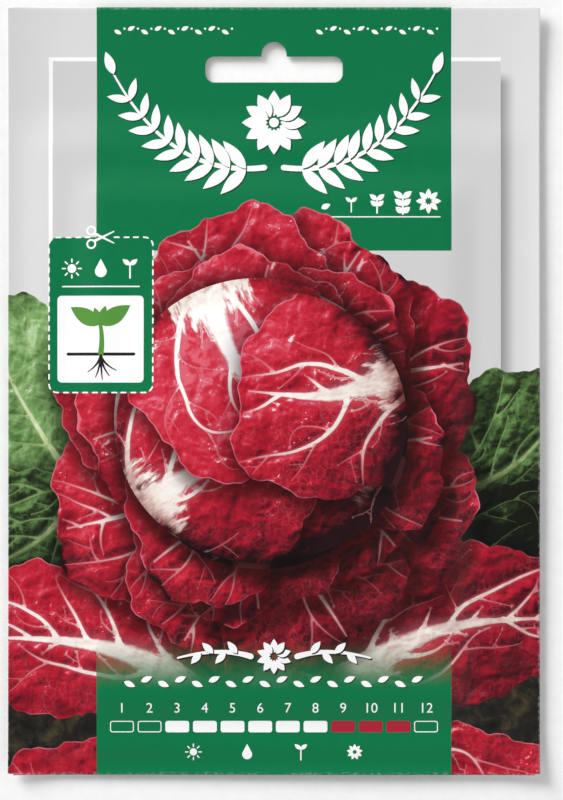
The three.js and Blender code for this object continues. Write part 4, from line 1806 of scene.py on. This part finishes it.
def seedObject():
    # a narrow wedge with blunt ridges, as chicory seeds are
    sides, long, wide = seeds["ridges"], seeds["long"] / 2, seeds["wide"] / 2
    turns = np.linspace(0, 2 * math.pi, sides, endpoint=False)
    points = [(-long, 0, 0)]
    for place, size in seeds["sections"]:
        y, z = wide * size * np.cos(turns), seeds["depth"] * wide * size * np.sin(turns)
        points += list(zip(np.full(sides, place * long), y, z))
    points.append((long * seeds["blunt"], 0, 0))
    faces = []
    for i in range(sides):
        j = (i + 1) % sides
        faces.append((0, 1 + j, 1 + i))
        for first in (1, 1 + sides):
            after = first + sides
            faces += [(first + i, first + j, after + j), (first + i, after + j, after + i)]
        faces.append((1 + 2 * sides + i, 1 + 2 * sides + j, 1 + 3 * sides))
    slots = [materials["seed"]]
    return makeMesh("one_seed", np.array(points), np.array(faces), slots, np.zeros(len(faces), int), 30)


def scatterTree():
    tree = bpy.data.node_groups.new("seed scatter", "GeometryNodeTree")
    wanted = {}
    for name, kind in (("Mound", "Geometry"), ("Seed", "Object"), ("Spacing", "Float"), ("Density", "Float"),
                       ("Draw", "Int"), ("Coat", "Material")):
        made = tree.interface.new_socket(name, in_out="INPUT", socket_type="NodeSocket" + kind)
        wanted[name] = made.identifier
    tree.interface.new_socket("Heap", in_out="OUTPUT", socket_type="NodeSocketGeometry")
    source = node(tree, "NodeGroupInput").outputs
    normal = node(tree, "GeometryNodeInputNormal").outputs[0]
    upward = node(tree, "ShaderNodeSeparateXYZ", {0: normal}).outputs[2]
    isTop = node(tree, "FunctionNodeCompare", {0: upward, 1: seeds["steepest"]}, data_type="FLOAT",
                 operation="GREATER_THAN").outputs[0]
    spread = node(tree, "GeometryNodeDistributePointsOnFaces",
                  {"Mesh": source["Mound"], "Selection": isTop, "Distance Min": source["Spacing"],
                   "Density Max": source["Density"], "Seed": source["Draw"]}, distribute_method="POISSON")
    one = node(tree, "GeometryNodeObjectInfo", {"Object": source["Seed"]})
    roll, tip = seeds["lean"]
    turns = {0: (-roll, -tip, 0.0), 1: (roll, tip, 6.283)}
    spin = node(tree, "FunctionNodeRandomValue", turns, data_type="FLOAT_VECTOR")
    sizes = {2: seeds["sizes"][0], 3: seeds["sizes"][1]}
    size = node(tree, "FunctionNodeRandomValue", sizes, data_type="FLOAT")
    placed = node(tree, "GeometryNodeInstanceOnPoints",
                  {"Points": spread.outputs["Points"], "Instance": one.outputs["Geometry"],
                   "Rotation": spin.outputs[0], "Scale": size.outputs[1]})
    joined = node(tree, "GeometryNodeJoinGeometry")
    tree.links.new(source["Mound"], joined.inputs[0])
    tree.links.new(placed.outputs[0], joined.inputs[0])
    solid = node(tree, "GeometryNodeRealizeInstances", {0: joined.outputs[0]})
    coated = node(tree, "GeometryNodeSetMaterial", {"Geometry": solid.outputs[0], "Material": source["Coat"]})
    node(tree, "NodeGroupOutput", {0: coated.outputs[0]})
    return tree, wanted


def makeSeeds():
    points, faces = moundMesh()
    piece = makeMesh("loose_seeds", points, faces, [materials["seed"]], np.zeros(len(faces), int))
    one = seedObject()
    tree, wanted = scatterTree()
    modifier = piece.modifiers.new("scatter", "NODES")
    modifier.node_group = tree
    values = {"Seed": one, "Spacing": seeds["spacing"] * mm, "Density": seeds["density"] / mm**2,
              "Draw": seeds["seed"], "Coat": materials["seed"]}
    for name, value in values.items():
        modifier[wanted[name]] = value
    bpy.context.view_layer.update()
    evaluated = piece.evaluated_get(bpy.context.evaluated_depsgraph_get())
    mesh = bpy.data.meshes.new_from_object(evaluated)
    piece.modifiers.remove(modifier)
    piece.data = mesh
    bpy.data.objects.remove(one)
    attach(piece, "root")
    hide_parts("seed_heap")
    print("seeds scattered:", len(mesh.polygons), "faces")


def foilFilm(name):
    material, tree, place = newMaterial(name)
    crease = noise(tree, place, 6, 4, 0.6, 0.7)
    fine = noise(tree, place, 0.6, 3, 0.5)
    rolled = bump(tree, fine, 0.3, 0.01, bump(tree, crease, 0.6, 0.25))
    # painted shade: the foil's colour is darker where the crease pattern is low and lighter where it is high,
    # so the creases' hollows carry painted shade over the relief that the same pattern gives
    colour = ramp(tree, crease, [(0.3, (196, 198, 201)), (0.7, (224, 226, 228))])
    rough = calc(tree, "MULTIPLY_ADD", fine, 0.16, 0.2)
    surface(tree, {"Base Color": colour, "Metallic": 0.92, "Roughness": rough, "Normal": rolled})
    return material


def seedCoat(name):
    material, tree, place = newMaterial(name)
    island = node(tree, "ShaderNodeNewGeometry").outputs["Random Per Island"]
    streak = noise(tree, place, 0.5, 4, 0.6)
    level = added(tree, calc(tree, "MULTIPLY", streak, 0.45), (island, 0.55))
    colour = ramp(tree, level, [(0.1, (78, 58, 38)), (0.45, (134, 104, 68)), (0.75, (176, 146, 102)),
                                (0.95, (206, 184, 146))])
    surface(tree, {"Base Color": colour, "Roughness": 0.7, "Normal": bump(tree, streak, 0.6, 0.05)})
    return material


materials["foil"] = foilFilm("sachet foil")
materials["seed"] = seedCoat("seed coat")

makeEnvelope()
makeFilm("sachet_back_film", "sachet_back_web", False)
makeFilm("sachet_front_film", "sachet_front_web", True)
makeSeeds()


# Table, lights and camera
studio = {
    "key": 88,
    "keySize": 1.35,
    "keyFrom": (-1.8, 1.8, 1.28),
    "fill": 1.8,
    "fillSize": 0.9,
    "fillFrom": (0.9, -0.5, 0.9),
    "wall": 0.8,
    "floorLine": 0.4,  # share of the wall's light that is left low down
    "ceiling": 0.05,
    "table": 3.0,
    "tableDrop": 0.00003,
}
# Millimetres at the packet, and pixels of the frame
view = {
    "pixel": 0.2604,
    "frame": (563, 800),
    "middle": (274, 391),
    "lens": 120,
    "sensor": 36,
    "focus": 2,
}


def makeTable():
    mesh = bpy.data.meshes.new("table_top")
    reach, low = studio["table"], -studio["tableDrop"]
    corners = [(-reach, -reach, low), (reach, -reach, low), (reach, reach, low), (-reach, reach, low)]
    mesh.from_pydata(corners, [], [(0, 1, 2, 3)])
    material, tree, place = newMaterial("pale table")
    colour = ramp(tree, noise(tree, place, 3, 5, 0.6), [(0.3, (246, 246, 246)), (0.7, (251, 251, 251))])
    surface(tree, {"Base Color": colour, "Roughness": 0.75})
    mesh.materials.append(material)
    table = bpy.data.objects.new("table_top", mesh)
    bpy.context.scene.collection.objects.link(table)


def areaLight(name, place, size, power):
    data = bpy.data.lights.new(name, "AREA")
    data.size = size
    data.energy = power
    lamp = bpy.data.objects.new(name, data)
    lamp.location = place
    lamp.rotation_mode = "QUATERNION"
    lamp.rotation_quaternion = (-Vector(place)).to_track_quat("-Z", "Y")
    bpy.context.scene.collection.objects.link(lamp)


def makeStudio():
    areaLight("key_light", studio["keyFrom"], studio["keySize"], studio["key"])
    areaLight("fill_light", studio["fillFrom"], studio["fillSize"], studio["fill"])
    world = bpy.data.worlds.new("studio")
    world.use_nodes = True
    tree = world.node_tree
    way = node(tree, "ShaderNodeTexCoord").outputs["Generated"]
    height = node(tree, "ShaderNodeSeparateXYZ", {0: way}).outputs[2]
    low = ease(tree, height, 0.15, 0.5, 1.0, studio["floorLine"])
    high = ease(tree, height, 0.72, 0.9, studio["ceiling"], studio["wall"])
    background = tree.nodes["Background"]
    tree.links.new(calc(tree, "MULTIPLY", low, high), background.inputs["Strength"])
    background.inputs["Color"].default_value = (1, 1, 1, 1)
    bpy.context.scene.world = world
    bpy.context.scene.view_settings.view_transform = "Standard"


def makeCamera():
    # straight above, with the packet's middle where the photo has it
    pixel, lens, sensor = view["pixel"] * mm, view["lens"], view["sensor"]
    (wide, high), (x, y) = view["frame"], view["middle"]
    data = bpy.data.cameras.new("camera")
    data.lens = lens
    data.sensor_width = sensor
    data.clip_start = 0.01
    camera = bpy.data.objects.new("camera", data)
    across, up = (wide / 2 - x) * pixel, (y - high / 2) * pixel
    camera.location = (across, up, high * pixel * lens / sensor + view["focus"] * mm)
    bpy.context.scene.collection.objects.link(camera)
    bpy.context.scene.camera = camera


makeTable()
makeStudio()
makeCamera()
